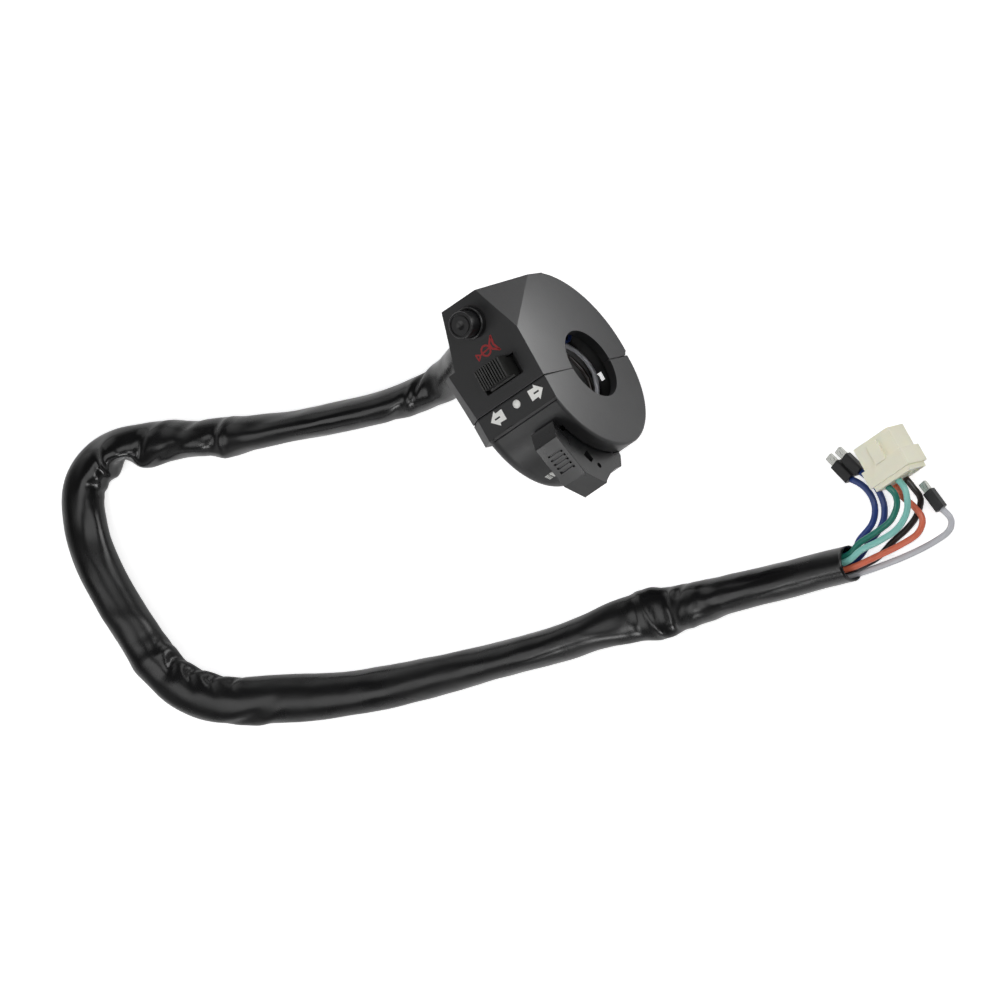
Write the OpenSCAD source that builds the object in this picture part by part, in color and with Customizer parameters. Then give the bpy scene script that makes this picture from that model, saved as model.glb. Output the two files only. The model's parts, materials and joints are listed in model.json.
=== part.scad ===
// Handlebar switch cluster for the left grip, with its wiring tail.
// X runs along the bar towards the middle of the machine, Y is up when fitted, Z faces the rider.
// The origin is on the bar's axis, halfway along the case. The part is drawn lying on its back.

/* [Handlebar] */
// Diameter of the handlebar tube
bar_d = 22.2; // [21:0.1:23]
// Gap all round between the tube and the bore
bar_gap = 0.05; // [0.02:0.01:0.1]

/* [Case] */
// Length of the case along the bar
case_len = 32; // [31:0.5:36]
// Thickness of the shell walls
wall = 2.2; // [1.8:0.1:2.4]
// Thickness of the two end walls that grip the bar
end_wall = 2.6; // [2.2:0.1:3]
// Height of the control face above the bar's axis
face_z = 28.4; // [28:0.1:30]
// Reach of the horn side below the bar's axis
horn_reach = 32.7; // [32:0.1:35]
// Radius of the round back on the horn side
horn_r = 29.4; // [29:0.1:30.5]
// Radius of the drum on the paddle side
paddle_r = 26.1; // [25.6:0.1:27]
// Length of the drum from the flange face
drum_len = 29; // [28:0.5:30.5]
// Radius of the drum's rounded far edge
drum_round = 5; // [3:0.5:6]
// Radius of the drum's edge at the flange
flange_round = 0.9; // [0.4:0.1:1.5]
// Height of the strip that carries the arrows
strip_w = 7.5; // [6:0.5:9]
// Width of the bevel at the inner end of the control face
bevel = 4.9; // [3:0.1:6]

/* [Clamp screws] */
// Thread diameter of the two clamp screws
clamp_d = 4; // [3:0.5:4.5]
// Head diameter of the clamp screws
clamp_head_d = 6; // [5.5:0.1:6.4]
// Length of the clamp screws under the head
clamp_len = 19; // [17:0.5:20]
// Height of the front clamp screw above the bar's axis
clamp_front_z = 16.6; // [16.2:0.1:18]
// Depth of the rear clamp screw below the bar's axis
clamp_rear_z = 15.9; // [15.7:0.1:16.5]

/* [Turn signal slider] */
// Length of the slider knob along the bar
knob_l = 9.6; // [8:0.1:10.5]
// Width of the slider knob
knob_w = 6.2; // [5:0.1:7]
// Height of the slider knob above the control face
knob_h = 5.7; // [4:0.1:7]
// Travel of the slider to each side
turn_travel = 2.2; // [1.5:0.1:2.4]
// Number of grip ribs on the slider knob
knob_ribs = 9; // [5:1:11]

/* [Horn button] */
// Diameter of the horn button
horn_d = 8.2; // [7:0.1:9.4]
// Height of the horn button above the control face
horn_h = 6.6; // [6:0.1:9]
// Travel of the horn button
horn_travel = 2.5; // [1.5:0.1:2.8]
// Height of the collar around the button above the control face
collar_h = 2; // [1:0.1:5]

/* [Dimmer paddle] */
// Width of the paddle along the bar
paddle_w = 8.7; // [7:0.1:9.5]
// Diameter of the paddle's pivot pin
pin_d = 3; // [2:0.1:3.4]
// Gap between the paddle and its window
window_gap = 0.4; // [0.3:0.1:0.8]

/* [Wiring tail] */
// Outer diameter of the sleeve
sleeve_d = 11.5; // [10:0.1:12]
// Diameter of each wire in the tail
wire_d = 2; // [1.6:0.1:2.2]
// Diameter of the leads inside the case
lead_d = 1.5; // [1.2:0.1:1.8]

/* [Hidden] */

// Running gap of a part that slides or turns in another
run_gap = 0.25;
// Radial gap of the pivot pin in the paddle
pin_gap = 0.05;
// Overshoot of every cut past the face it leaves
over = 1;
// Reach of the tools that cut right through the case
far = 80;

// Case
x0 = -case_len / 2;
x1 = case_len / 2;
bore_r = bar_d / 2 + bar_gap;
drum_c = [0.9, 3.7];
drum_x1 = x0 + drum_len;
ceiling = face_z - wall;
tip_x = x0 + 20;
tip_y = -horn_reach;
shoulder_x = tip_x + 5.8;
neck_y = 15.5;
back_y = tip_y + 1.7;
horn_c = [horn_r + back_y - 0.9, horn_r - 22.3];
facet_a = [x0, tip_y + 16.3, face_z];
facet_b = [x0 + 6.4, tip_y, face_z];
facet_c = [x0, back_y, 7.7];
split_gap = 1.2;
split_depth = 1.6;
vent_w = 2.4;
vent_x = x0 + 9.6;
peg_d = 1.6;
peg_l = 1.5;
seam = 0.35;
lip_w = 0.8;
lip_groove_w = 0.35;

// Clamp screws
clamp_x = x1 - 3.9;
clamp_seat = 12.5;
clamp_head_h = 2.6;
clamp_boss_r = 4.3;
clamp_zs = [clamp_front_z, -clamp_rear_z];
insert_d = clamp_d + 1.6;
insert_l = clamp_len - clamp_seat - 0.3;

// Turn signal slider
turn_x = x0 + 12.8;
turn_y = -7.4;
knob_crown = 30;
knob_cap_w = knob_w + 0.3;
knob_lean = 0.7;
slot_l = knob_l + 2 * turn_travel + 2 * run_gap;
slot_w = knob_w + 2 * run_gap;
slot_depth = 2.8;
slot_floor = 1.6;
slot_z = face_z - slot_depth;
stem_l = 3.2;
stem_w = 2.4;
carriage_ends = [-3.9, 4.5];
carriage_w = 6.8;
carriage_h = 4.1;
carriage_z = slot_z - slot_floor - 0.3 - carriage_h;
board_t = 1.4;
turn_board_z = carriage_z - 1.6 - board_t;
turn_bosses = [[turn_x - 5.5, turn_y + 5.6], [turn_x + 5.5, turn_y - 5.6]];
turn_board_w = 8.2;
turn_board_xs = [turn_x - 6.6, turn_x + 6.6];
ball_r = 1;
ball_x = 3;
rivet_r = 0.7;
rivet_head = 0.3;
rivet_tail = 1.8;

// Horn button
horn_x = x0 + 12.9;
horn_y = tip_y + 7.7;
collar_r = horn_d / 2 + run_gap + 0.6;
collar_rim_r = collar_r + 0.5;
collar_rim_t = 1.4;
horn_flange_r = horn_d / 2 + 0.9;
horn_flange_t = 1.2;
collar_z = ceiling - collar_rim_t;
horn_flange_z = collar_z - 0.2 - horn_flange_t;
horn_contact_t = 0.5;
horn_post_z = horn_flange_z - horn_contact_t - horn_travel - 0.1;
horn_base_t = 1.5;
horn_base_z = turn_board_z - horn_base_t - 0.2;
horn_base_w = 11;
horn_base_y0 = tip_y + 3.4;
horn_screw_y = horn_y + 7.4;
horn_base_y1 = horn_screw_y + 2;
post_x = 3.6;
post_r = 0.9;
horn_well_r = 2.9;
horn_well_z = face_z - 0.6;

// Dimmer paddle
paddle_x = x0 + 9.35;
pivot = [13, 11];
hub_r = 3.2;
window_top = 15;
window_low = -0.6;
notch_c = [53.6, 5.6];
notch_r = 21.9;
grip_a = [18, 31];
grip_b = [31.1, 26.4];
groove_first = 3.6;
groove_pitch = 1.47;
tail_angle = 135;
tail_l = 11.3;
tail_w = 5;
web_x = x0 + 17.9;
tail_x1 = web_x - 3.2;
web_t = 2.2;
web_bar_gap = 1.9;
dimmer_board_x = web_x - board_t;
paddle_board = [[2.6, 12.8], [9.4, 12.8], [11.4, 14.8], [11.4, 24.6], [2.6, 24.6]];
dimmer_screws = [[4.6, 22.9], [9.4, 22.9]];

// Small screws that hold the boards
screw_d = 2;
screw_head_d = 3.6;
screw_head_h = 1.3;
screw_l = 5;
boss_r = 1.8;
pilot_r = screw_d / 2 + 0.05;
screw_hole_r = screw_d / 2 + 0.1;

// Cable outlet
outlet_y = -22;
outlet_z = 1;
outlet_r = 8;
outlet_x1 = x1 - 5.5;
outlet_x0 = outlet_x1 - 7.5;
grommet_r = sleeve_d / 2 + 1.3;
grommet_gap = 0.05;
grommet_rim_r = sleeve_d / 2 + 1.9;
grommet_x1 = outlet_x1 + 1.6;

// Points of the sleeve, from inside the outlet round the loop to its open end
table_z = -16.6;
sleeve_route = [
    [outlet_x0, outlet_y, outlet_z], [outlet_x1 + 2.5, outlet_y, outlet_z], [20, -22, -1], [28, -22, -7],
    [37, -22.5, -13], [47, -24, -16], [60, -27, table_z], [86, -36, table_z], [110, -45.5, table_z],
    [131, -55, table_z],
    [149, -61, table_z], [162, -58.5, table_z], [169, -49, table_z], [172, -36, table_z],
    [172, -16, table_z], [169, 3, table_z], [158, 17, table_z], [141, 27, table_z], [111, 41, table_z],
    [60, 58, table_z], [26, 66.5, table_z], [-8, 77, table_z], [-50.6, 90.6, table_z]
];
// Points of the wires: offset from the sleeve's axis at its end, across and up, then the points on the table
blue_a_start = [-2.9, -1.7];
blue_a_route = [
    [-55, 85.6, -19.4], [-60.5, 83.6, -20.7], [-63.8, 80.6, -20.8], [-65, 77, -20.8], [-64.6, 73.4, -20.8],
    [-63.4, 70.8, -20.6], [-62.2, 68.9, -20]
];
blue_b_start = [-0.6, -2.4];
blue_b_route = [
    [-57, 87.9, -20], [-63.4, 85.4, -20.8], [-67, 81.5, -20.8], [-68, 77, -20.8], [-67.7, 73.4, -20.8],
    [-67, 70.8, -20.6], [-66.3, 68.7, -20]
];
teal_start = [-2.6, 1];
teal_route = [
    [-56, 87, -16.2], [-62.5, 87, -16.6], [-69, 86.6, -16.4], [-73.6, 84.2, -15.8], [-75.4, 81.5, -15.1],
    [-75.4, 79.5, -14.6], [-74.8, 78, -14.5]
];
aqua_start = [-0.8, 2.9];
aqua_route = [
    [-57, 89.4, -13.9], [-64, 90.2, -14], [-71, 90.2, -14], [-76.6, 87.6, -14], [-79.2, 83.4, -14.2],
    [-79.6, 80.5, -14.5], [-79, 78, -14.5]
];
orange_start = [1.3, 1.4];
orange_route = [
    [-58.5, 93, -17], [-67, 94, -18], [-74, 94, -18.2], [-77.6, 91.2, -18.4], [-77, 86.6, -18.6],
    [-75, 82, -19], [-74.8, 78, -19]
];
black_start = [1.7, -1];
black_route = [
    [-57, 93, -19.6], [-63.7, 91.4, -20.8], [-70, 90.6, -20.8], [-75, 89, -20.8], [-79, 85.6, -20.8],
    [-79.4, 81.6, -19.6], [-79, 78, -19]
];
grey_start = [3.4, -2.6];
grey_route = [
    [-59, 96, -20.7], [-68, 97.6, -20.8], [-76, 98.4, -20.8], [-82, 98.2, -20.8], [-84.6, 96, -20.7],
    [-84.6, 93.6, -20.4], [-84, 91.6, -20]
];

// Connector at the end of the tail
plug_c = [-79, 71];
plug_floor = -22.2;
plug_w = 15.6;
plug_l = 7;
plug_h = 11.4;
plug_nose_w = 12.6;
plug_nose_l = 7.4;
plug_nose_h = 9.6;
plug_pitch = 4.2;
plug_rows = [-19, -14.5];
plug_cell = 3;
plug_back = plug_c[1] + plug_l;
plug_front = plug_c[1] - plug_nose_l;

// Boots and the tabs in them: sizes, and headings at the end of their wires
boot_size = [6.6, 3.4, 3.2];
boot_blue_a_heading = -74;
boot_blue_b_heading = -72;
boot_grey_heading = -82;
tab_size = [3.2, 2.4, 1.4];

// Functions and shared shapes

// Vector v at length 1
function unit(v) = v / norm(v);

// Heading of a route at point i, with the headings of its two ends given
function heading(route, i, first, last) =
    i == 0 ? first : i == len(route) - 1 ? last : unit(route[i + 1] - route[i - 1]);

// Ring of n points at radius r round point p, square to direction t
function ring(p, t, r, n) =
    let (side = unit(cross(t, [0, 0, 1])), up = cross(side, t))
    [for (k = [0:n - 1]) p + r * (cos(360 * k / n) * side + sin(360 * k / n) * up)];

// Heading of the last stretch of a route
function end_heading(route) = unit(route[len(route) - 1] - route[len(route) - 2]);

// Round tube along a route, as one closed surface whose end faces are square to first and last
module tube(route, r, n, first, last) {
    count = len(route) - 1;
    points = [for (i = [0:count]) each ring(route[i], heading(route, i, first, last), r, n)];
    walls = [for (i = [0:count - 1], k = [0:n - 1]) let (a = i * n + k, b = i * n + (k + 1) % n)
        each [[a, a + n, b], [b, a + n, b + n]]];
    near = [[for (k = [0:n - 1]) k]];
    end = [[for (k = [n - 1:-1:0]) count * n + k]];
    polyhedron(points = points, faces = concat(walls, near, end));
}

// Coil spring along Z from z = 0, with its end coils drawn close
module coil(radius, wire, height, turns) {
    steps = 10;
    count = turns * steps;
    rise = height - wire;
    route = [for (i = [0:count]) let (t = i / count, z = wire / 2 + rise * (t - sin(360 * t) / 9))
        [radius * cos(360 * i / steps), radius * sin(360 * i / steps), z]];
    tube(route, wire / 2, 6, [0, 1, 0], [0, 1, 0]);
}

// Flat outline in Y and Z, drawn out along X from a to b
module slab(a, b) {
    translate([a, 0, 0]) rotate([90, 0, 90]) linear_extrude(b - a) children();
}

// Outline of radius and X, turned round a line along X through c
module turned(c) {
    translate([0, c[0], c[1]]) rotate([0, 90, 0]) rotate_extrude($fn = 120) children();
}

// Round bar along X from a to b, centred on [y, z]
module rod_x(a, b, c, r) {
    translate([a, c[0], c[1]]) rotate([0, 90, 0]) cylinder(h = b - a, r = r, $fn = 48);
}

// Round bar along Y from a to b, centred on x and z
module rod_y(a, b, x, z, r) {
    translate([x, a, z]) rotate([-90, 0, 0]) cylinder(h = b - a, r = r, $fn = 48);
}

// Block between two corners
module block(a, b) {
    translate(a) cube(b - a);
}

// Everything past the facet plane, moved in by inset
module past_facet(inset) {
    n = unit(cross(facet_c - facet_a, facet_b - facet_a));
    translate(facet_a - n * inset) rotate([0, acos(n[2]), atan2(n[1], n[0])])
        translate([-far / 2, -far / 2, 0]) cube([far, far, far / 2]);
}

// Everything past the bevel at the inner end, moved in by inset; the lower shell's bevel is turned by skew
module past_bevel(inset, skew) {
    translate([x1 - bevel, 0, face_z]) rotate([0, 0, skew]) rotate([0, 45, 0])
        translate([-far / 2, -far / 2, -inset]) cube([far, far, far / 2]);
}

// Outline of the horn side, seen along the bar
module horn_outline(inset) {
    intersection() {
        translate([horn_c[0], horn_c[1]]) circle(horn_r - inset, $fn = 160);
        translate([back_y + inset, -far]) square([-back_y - inset, far + horn_c[1]]);
    }
    polygon([
        [0, horn_c[1] - over], [0, face_z - inset], [tip_y + inset, face_z - inset],
        [back_y + inset, horn_c[1] - 8 + inset], [back_y / 2, horn_c[1] - over]
    ]);
}

// Outline of the horn side, seen on the control face
module horn_plan(inset, ends) {
    polygon([
        [x0 + ends, over], [x1 - ends, over], [x1 - ends, -neck_y + inset],
        [shoulder_x - inset, -neck_y + inset], [tip_x - inset, tip_y], [tip_x - inset, tip_y - over * 4],
        [x0 + ends, tip_y - over * 4]
    ]);
}

// Solid form of the lower half, shrunk by inset, and by ends along the bar
module horn_form(inset, ends) {
    difference() {
        intersection() {
            slab(x0, x1) horn_outline(inset);
            translate([0, 0, -far]) linear_extrude(far * 2) horn_plan(inset, ends);
        }
        past_facet(inset);
        past_bevel(inset, 5);
    }
}

// Section of the drum: radius against distance along the bar
module drum_section(inset, ends) {
    r = paddle_r - inset;
    a = x0 + ends;
    b = drum_x1 - inset;
    big = max(drum_round - inset, 0.5);
    small = ends > 0 ? 0.2 : flange_round;
    translate([0, a + small]) square([r, b - a - big - small]);
    translate([0, a]) square([r - small, b - a - big]);
    translate([0, b - big - over / 2]) square([r - big, big + over / 2]);
    intersection() {
        translate([r - big, b - big]) circle(big, $fn = 64);
        translate([0, b - big]) square([r, big]);
    }
    intersection() {
        translate([r - small, a + small]) circle(small, $fn = 32);
        translate([0, a]) square([r, b - a - big]);
    }
}

// Outline of the upper half's neck round the bar, seen along it
module neck_outline(inset) {
    intersection() {
        translate(drum_c) circle(paddle_r - inset, $fn = 160);
        translate([0, -far]) square([strip_w - inset, far + face_z - inset]);
    }
}

// Solid form of the upper half, shrunk by inset, and by ends along the bar
module drum_form(inset, ends) {
    difference() {
        union() {
            difference() {
                turned(drum_c) drum_section(inset, ends);
                block([-far, -far, -far], [far, 0, far]);
                block([-far, -over, face_z - inset], [far, strip_w - inset, far]);
            }
            slab(drum_x1 - drum_round - over, x1 - ends) neck_outline(inset);
        }
        intersection() {
            past_bevel(inset, 0);
            block([-far, -far, 0], [far, strip_w, far]);
        }
    }
}

// Case

// Half of the case with the horn button and the slider; its round back carries the cable outlet
module lower_case() {
    color("#2b2c2e") difference() {
        union() {
            difference() {
                horn_form(0, 0);
                horn_form(wall, end_wall);
            }
            intersection() {
                horn_form(0.2, 0);
                union() {
                    for (z = clamp_zs) rod_y(-neck_y, 0, clamp_x, z, clamp_boss_r);
                    slot_walls();
                    for (at = turn_bosses) standoff(at, turn_board_z + board_t);
                    standoff([horn_x, horn_screw_y], horn_base_z + horn_base_t);
                    horn_ledge();
                }
            }
            rod_x(outlet_x0, outlet_x1, [outlet_y, outlet_z], outlet_r);
            for (z = clamp_zs) rod_y(-over, peg_l, x0 + end_wall / 2, z, peg_d / 2);
        }
        rod_x(x0 - over, x1 + over, [0, 0], bore_r);
        rod_x(outlet_x0 - over, far, [outlet_y, outlet_z], grommet_r);
        outlet_relief();
        turn_slot();
        translate([horn_x, horn_y, 0]) cylinder(h = far, r = collar_r, $fn = 64);
        translate([horn_x, horn_y, horn_base_z])
            cylinder(h = ceiling - horn_base_z, r = collar_rim_r + 0.1, $fn = 64);
        for (z = clamp_zs) {
            rod_y(-far, over, clamp_x, z, clamp_d / 2 + 0.2);
            rod_y(-far, -clamp_seat, clamp_x, z, clamp_head_d / 2 + 0.2);
        }
        for (at = turn_bosses) pilot(at, turn_board_z + board_t);
        pilot([horn_x, horn_screw_y], horn_base_z + horn_base_t);
        split_notch();
    }
}

// Room outside the outlet for the grommet's rim and the sleeve
module outlet_relief() {
    rod_x(outlet_x1, far, [outlet_y, outlet_z], outlet_r);
}

// Pocket walls under the slider's slot
module slot_walls() {
    size = [slot_l + 2 * wall, slot_w + 2 * slot_floor];
    block(
        [turn_x - size[0] / 2, turn_y - size[1] / 2, slot_z - slot_floor],
        [turn_x + size[0] / 2, turn_y + size[1] / 2, ceiling + over / 2]
    );
}

// Slot that the knob slides in, and the narrow one for its stem
module turn_slot() {
    half = stem_l / 2 + turn_travel + run_gap;
    block(
        [turn_x - slot_l / 2, turn_y - slot_w / 2, slot_z],
        [turn_x + slot_l / 2, turn_y + slot_w / 2, far]
    );
    block(
        [turn_x - half, turn_y - stem_w / 2 - run_gap, slot_z - slot_floor - over],
        [turn_x + half, turn_y + stem_w / 2 + run_gap, far]
    );
}

// Boss that hangs from the ceiling down to a board at height z
module standoff(at, z) {
    translate([at[0], at[1], z]) cylinder(h = ceiling + over / 2 - z, r = boss_r, $fn = 32);
}

// Hole for a board screw in a boss that ends at height z
module pilot(at, z) {
    translate([at[0], at[1], z - over]) cylinder(h = over + screw_l - board_t + 0.4, r = pilot_r, $fn = 24);
}

// Ledge on the end wall that the horn's base rests on
module horn_ledge() {
    block([horn_x - 4, back_y + 0.5, horn_base_z - 1.6], [horn_x + 4, horn_base_y0 + 1.2, horn_base_z]);
}

// Notch at the back, outside the seam
module split_notch() {
    bottom = horn_c[1] - horn_r;
    slab(x0 - over, x1 + over) polygon([
        [over, bottom - over], [-split_gap, bottom - over], [-split_gap, bottom + 0.3],
        [0, bottom + split_depth], [over, bottom + split_depth]
    ]);
}

// Half of the case with the paddle, the arrow strip and the drum
module upper_case() {
    color("#333436") difference() {
        union() {
            difference() {
                drum_form(0, 0);
                drum_form(wall, end_wall);
            }
            intersection() {
                drum_form(0.2, 0);
                for (z = clamp_zs) rod_y(0, insert_l + 1.2, clamp_x, z, clamp_boss_r);
            }
            dimmer_web();
            rod_x(x0 + end_wall - over, x0 + end_wall + 0.5, pivot, hub_r);
        }
        rod_x(x0 - over, x1 + over, [0, 0], bore_r);
        for (z = clamp_zs) rod_y(-over, insert_l + 0.3, clamp_x, z, insert_d / 2);
        for (z = clamp_zs) rod_y(-over, peg_l + 0.3, x0 + end_wall / 2, z, peg_d / 2 + 0.1);
        block(
            [paddle_x - paddle_w / 2 - window_gap, window_top, window_low],
            [paddle_x + paddle_w / 2 + window_gap, far, far]
        );
        rod_x(x0 + 1.2, web_x + web_t + over, pivot, pin_d / 2);
        block([vent_x, -over, -far], [vent_x + vent_w, vent_w + 0.2, drum_c[1] - paddle_r + wall + over]);
        for (s = dimmer_screws) rod_x(web_x - over, web_x + web_t + over, s, pilot_r);
        seam_rebate();
        lip_groove();
    }
}

// Shallow step all round the parting face, seen as the seam
module seam_rebate() {
    difference() {
        block([-far, -over, -far], [far, seam, far]);
        drum_form(seam, seam);
    }
}

// Fine groove along the drum, beside its lip over the arrow strip
module lip_groove() {
    y = strip_w + lip_w;
    z = drum_c[1] + sqrt(pow(paddle_r, 2) - pow(y - drum_c[0], 2)) - lip_groove_w;
    block([-far, y, z], [far, y + lip_groove_w, far]);
}

// Web across the drum that carries the pivot pin and the dimmer board, open behind the contacts
module dimmer_web() {
    intersection() {
        slab(web_x, web_x + web_t) difference() {
            translate([1, 5.5]) square([far, far]);
            circle(bore_r + web_bar_gap, $fn = 96);
            polygon([[5.8, 12.9], [9, 12.9], [11, 14.9], [11, 18.6], [5.8, 18.6]]);
        }
        drum_form(0.3, end_wall);
    }
}

// The two screws that pull the halves together round the bar
module clamp_screws() {
    color("#8d9196") for (z = clamp_zs) difference() {
        union() {
            rod_y(-clamp_seat, clamp_len - clamp_seat, clamp_x, z, clamp_d / 2);
            rod_y(-clamp_seat - clamp_head_h, -clamp_seat, clamp_x, z, clamp_head_d / 2);
        }
        for (turn = [0, 90]) translate([clamp_x, -clamp_seat - clamp_head_h, z]) rotate([0, turn, 0])
            cube([clamp_head_d * 0.62, 2.8, 0.9], center = true);
    }
}

// Brass bushes in the upper half that take the clamp screws
module clamp_inserts() {
    color("#b08d3c") for (z = clamp_zs) difference() {
        rod_y(0.3, insert_l + 0.3, clamp_x, z, insert_d / 2);
        rod_y(-over, far, clamp_x, z, clamp_d / 2);
    }
}

// Horn button

// Collar that guides the button and stands above the face
module horn_collar() {
    color("#1d1d1f") translate([horn_x, horn_y, 0]) rotate_extrude($fn = 96) difference() {
        union() {
            translate([0, collar_z]) square([collar_rim_r, collar_rim_t]);
            translate([0, collar_z]) square([collar_r, face_z + collar_h - 0.5 - collar_z]);
            translate([0, face_z]) square([collar_r - 0.5, collar_h]);
            translate([collar_r - 0.5, face_z + collar_h - 0.5]) circle(0.5, $fn = 32);
        }
        translate([-over, collar_z - over]) square([horn_d / 2 + run_gap + over, far]);
    }
}

// Button with a ringed, hollowed top and a well for its spring
module horn_button() {
    top = face_z + horn_h;
    r = horn_d / 2;
    color("#141415") translate([horn_x, horn_y, 0]) rotate_extrude($fn = 96) difference() {
        union() {
            translate([0, horn_flange_z]) square([horn_flange_r, horn_flange_t]);
            translate([0, horn_flange_z]) square([r, top - 0.4 - horn_flange_z]);
            translate([0, top - over]) square([r - 0.4, over]);
            translate([r - 0.4, top - 0.4]) circle(0.4, $fn = 32);
        }
        translate([-over, horn_flange_z - over])
            square([horn_well_r + over, horn_well_z - horn_flange_z + over]);
        translate([r * 0.78 - 0.35, top - 0.35]) square([0.55, over]);
        translate([0, top + 3.6]) circle(r * 0.95, $fn = 96);
        translate([-far, -far]) square([far, far * 3]);
    }
}

// Contact ring under the button's flange
module horn_contact() {
    color("#c08a3e") translate([horn_x, horn_y, horn_flange_z - horn_contact_t]) difference() {
        cylinder(h = horn_contact_t, r = horn_flange_r - 0.2, $fn = 64);
        translate([0, 0, -over]) cylinder(h = far, r = horn_well_r + 0.1, $fn = 64);
    }
}

// Return spring of the button, between its well and the base
module horn_spring() {
    low = horn_base_z + horn_base_t;
    color("#a9adb1") translate([horn_x, horn_y, low]) coil(2.1, 0.6, horn_well_z - low, 6);
}

// Insulating base with a post that centres the spring
module horn_base() {
    color("#6b4a2c") difference() {
        union() {
            block(
                [horn_x - horn_base_w / 2, horn_base_y0, horn_base_z],
                [horn_x + horn_base_w / 2, horn_base_y1, horn_base_z + horn_base_t]
            );
            translate([horn_x, horn_y, horn_base_z]) cylinder(h = horn_base_t + 3, r = 1.3, $fn = 32);
        }
        for (s = [-1, 1]) translate([horn_x + s * post_x, horn_y, horn_base_z - over])
            cylinder(h = far, r = post_r, $fn = 32);
        translate([horn_x, horn_screw_y, horn_base_z - over])
            cylinder(h = far, r = screw_hole_r, $fn = 32);
    }
}

// Two contact posts that the ring bridges when the button is pushed
module horn_terminals() {
    color("#c9a24a") for (s = [-1, 1]) translate([horn_x + s * post_x, horn_y, horn_base_z - 1.5]) {
        cylinder(h = horn_post_z - horn_base_z + 1.5, r = post_r, $fn = 32);
        cylinder(h = 1.5, r = post_r + 0.4, $fn = 32);
    }
}

// Turn signal slider

// Ribbed knob with the stem that reaches through the slot
module turn_knob() {
    low = slot_z + 0.3;
    top = face_z + knob_h;
    pitch = knob_l / (knob_ribs + 1.5);
    color("#4b4a48") translate([turn_x, turn_y, 0]) difference() {
        union() {
            block([-knob_l / 2, -knob_w / 2, low], [knob_l / 2, knob_w / 2, face_z + 1.2]);
            translate([0, -knob_lean, 0]) intersection() {
                block([-knob_l / 2, -knob_cap_w / 2, face_z + 0.4], [knob_l / 2, knob_cap_w / 2, top]);
                rod_y(-knob_w, knob_w, 0, top - knob_crown, knob_crown);
            }
            block([-stem_l / 2, -stem_w / 2, carriage_z + 1.4], [stem_l / 2, stem_w / 2, low + over / 2]);
        }
        for (i = [0:knob_ribs]) translate([(i - knob_ribs / 2) * pitch, 0, top])
            cube([pitch * 0.46, knob_w * 3, 1.7], center = true);
    }
}

// Block under the slot that the stem snaps into
module turn_carriage() {
    color("#e6e2d6") translate([turn_x, turn_y, carriage_z]) difference() {
        block([carriage_ends[0], -carriage_w / 2, 0], [carriage_ends[1], carriage_w / 2, carriage_h]);
        translate([-stem_l / 2, -stem_w / 2, 1.4]) cube([stem_l, stem_w, far]);
        translate([ball_x, 0, -over]) cylinder(h = over + 3.3, r = ball_r + 0.15, $fn = 32);
    }
}

// Contact bridge under the carriage
module turn_bridge() {
    nib = turn_board_z + board_t + rivet_head + 0.1;
    color("#c08a3e") translate([turn_x - turn_travel, turn_y, 0]) {
        block([-1.8, -2.8, carriage_z - 0.5], [2.6, 2.8, carriage_z]);
        for (s = [-1, 1]) translate([0, s * 2, nib]) cylinder(h = carriage_z - 0.4 - nib, r = 0.6, $fn = 24);
    }
}

// Spring that pushes the detent ball on to the board
module turn_spring() {
    low = turn_board_z + board_t + 0.15 + 2 * ball_r;
    color("#a9adb1") translate([turn_x + ball_x, turn_y, low]) coil(0.85, 0.35, carriage_z + 3.25 - low, 5);
}

// Detent ball of the slider
module turn_ball() {
    color("#d4d7da") translate([turn_x + ball_x, turn_y, turn_board_z + board_t + 0.1 + ball_r])
        sphere(ball_r, $fn = 32);
}

// Board that the slider's contacts are riveted to, with three shallow detent notches
module turn_board() {
    low = turn_board_z;
    color("#7a5430") difference() {
        union() {
            block(
                [turn_board_xs[0], turn_y - turn_board_w / 2, low],
                [turn_board_xs[1], turn_y + turn_board_w / 2, low + board_t]
            );
            for (at = turn_bosses) {
                translate([at[0], at[1], low]) cylinder(h = board_t, r = boss_r, $fn = 32);
                block(
                    [at[0] - boss_r, min(at[1], turn_y), low],
                    [at[0] + boss_r, max(at[1], turn_y), low + board_t]
                );
            }
        }
        for (at = turn_bosses) translate([at[0], at[1], low - over])
            cylinder(h = far, r = screw_hole_r, $fn = 32);
        for (at = turn_rivets()) translate([at[0], at[1], low - over])
            cylinder(h = far, r = rivet_r, $fn = 24);
        for (i = [-1:1]) translate([turn_x + ball_x + i * turn_travel, turn_y - 1.5, low + board_t + 0.5])
            rotate([-90, 0, 0]) cylinder(h = 3, r = 0.8, $fn = 24);
    }
}

// Centres of the slider's rivets: one pair for each position of the bridge
function turn_rivets() =
    [for (i = [-1:1], s = [-1, 1]) [turn_x - turn_travel + i * turn_travel, turn_y + s * 2]];

// Rivets that the bridge joins in pairs
module turn_contacts() {
    color("#c9a24a") for (at = turn_rivets()) translate([at[0], at[1], turn_board_z - rivet_tail]) {
        cylinder(h = rivet_tail + board_t, r = rivet_r, $fn = 24);
        translate([0, 0, rivet_tail + board_t]) cylinder(h = rivet_head, r = rivet_r + 0.2, $fn = 24);
    }
}

// Dimmer paddle

// Point at distance r and angle a from the pivot, as [y, z]
function from_pivot(r, a) = [pivot[0] + r * cos(a), pivot[1] + r * sin(a)];

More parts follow.
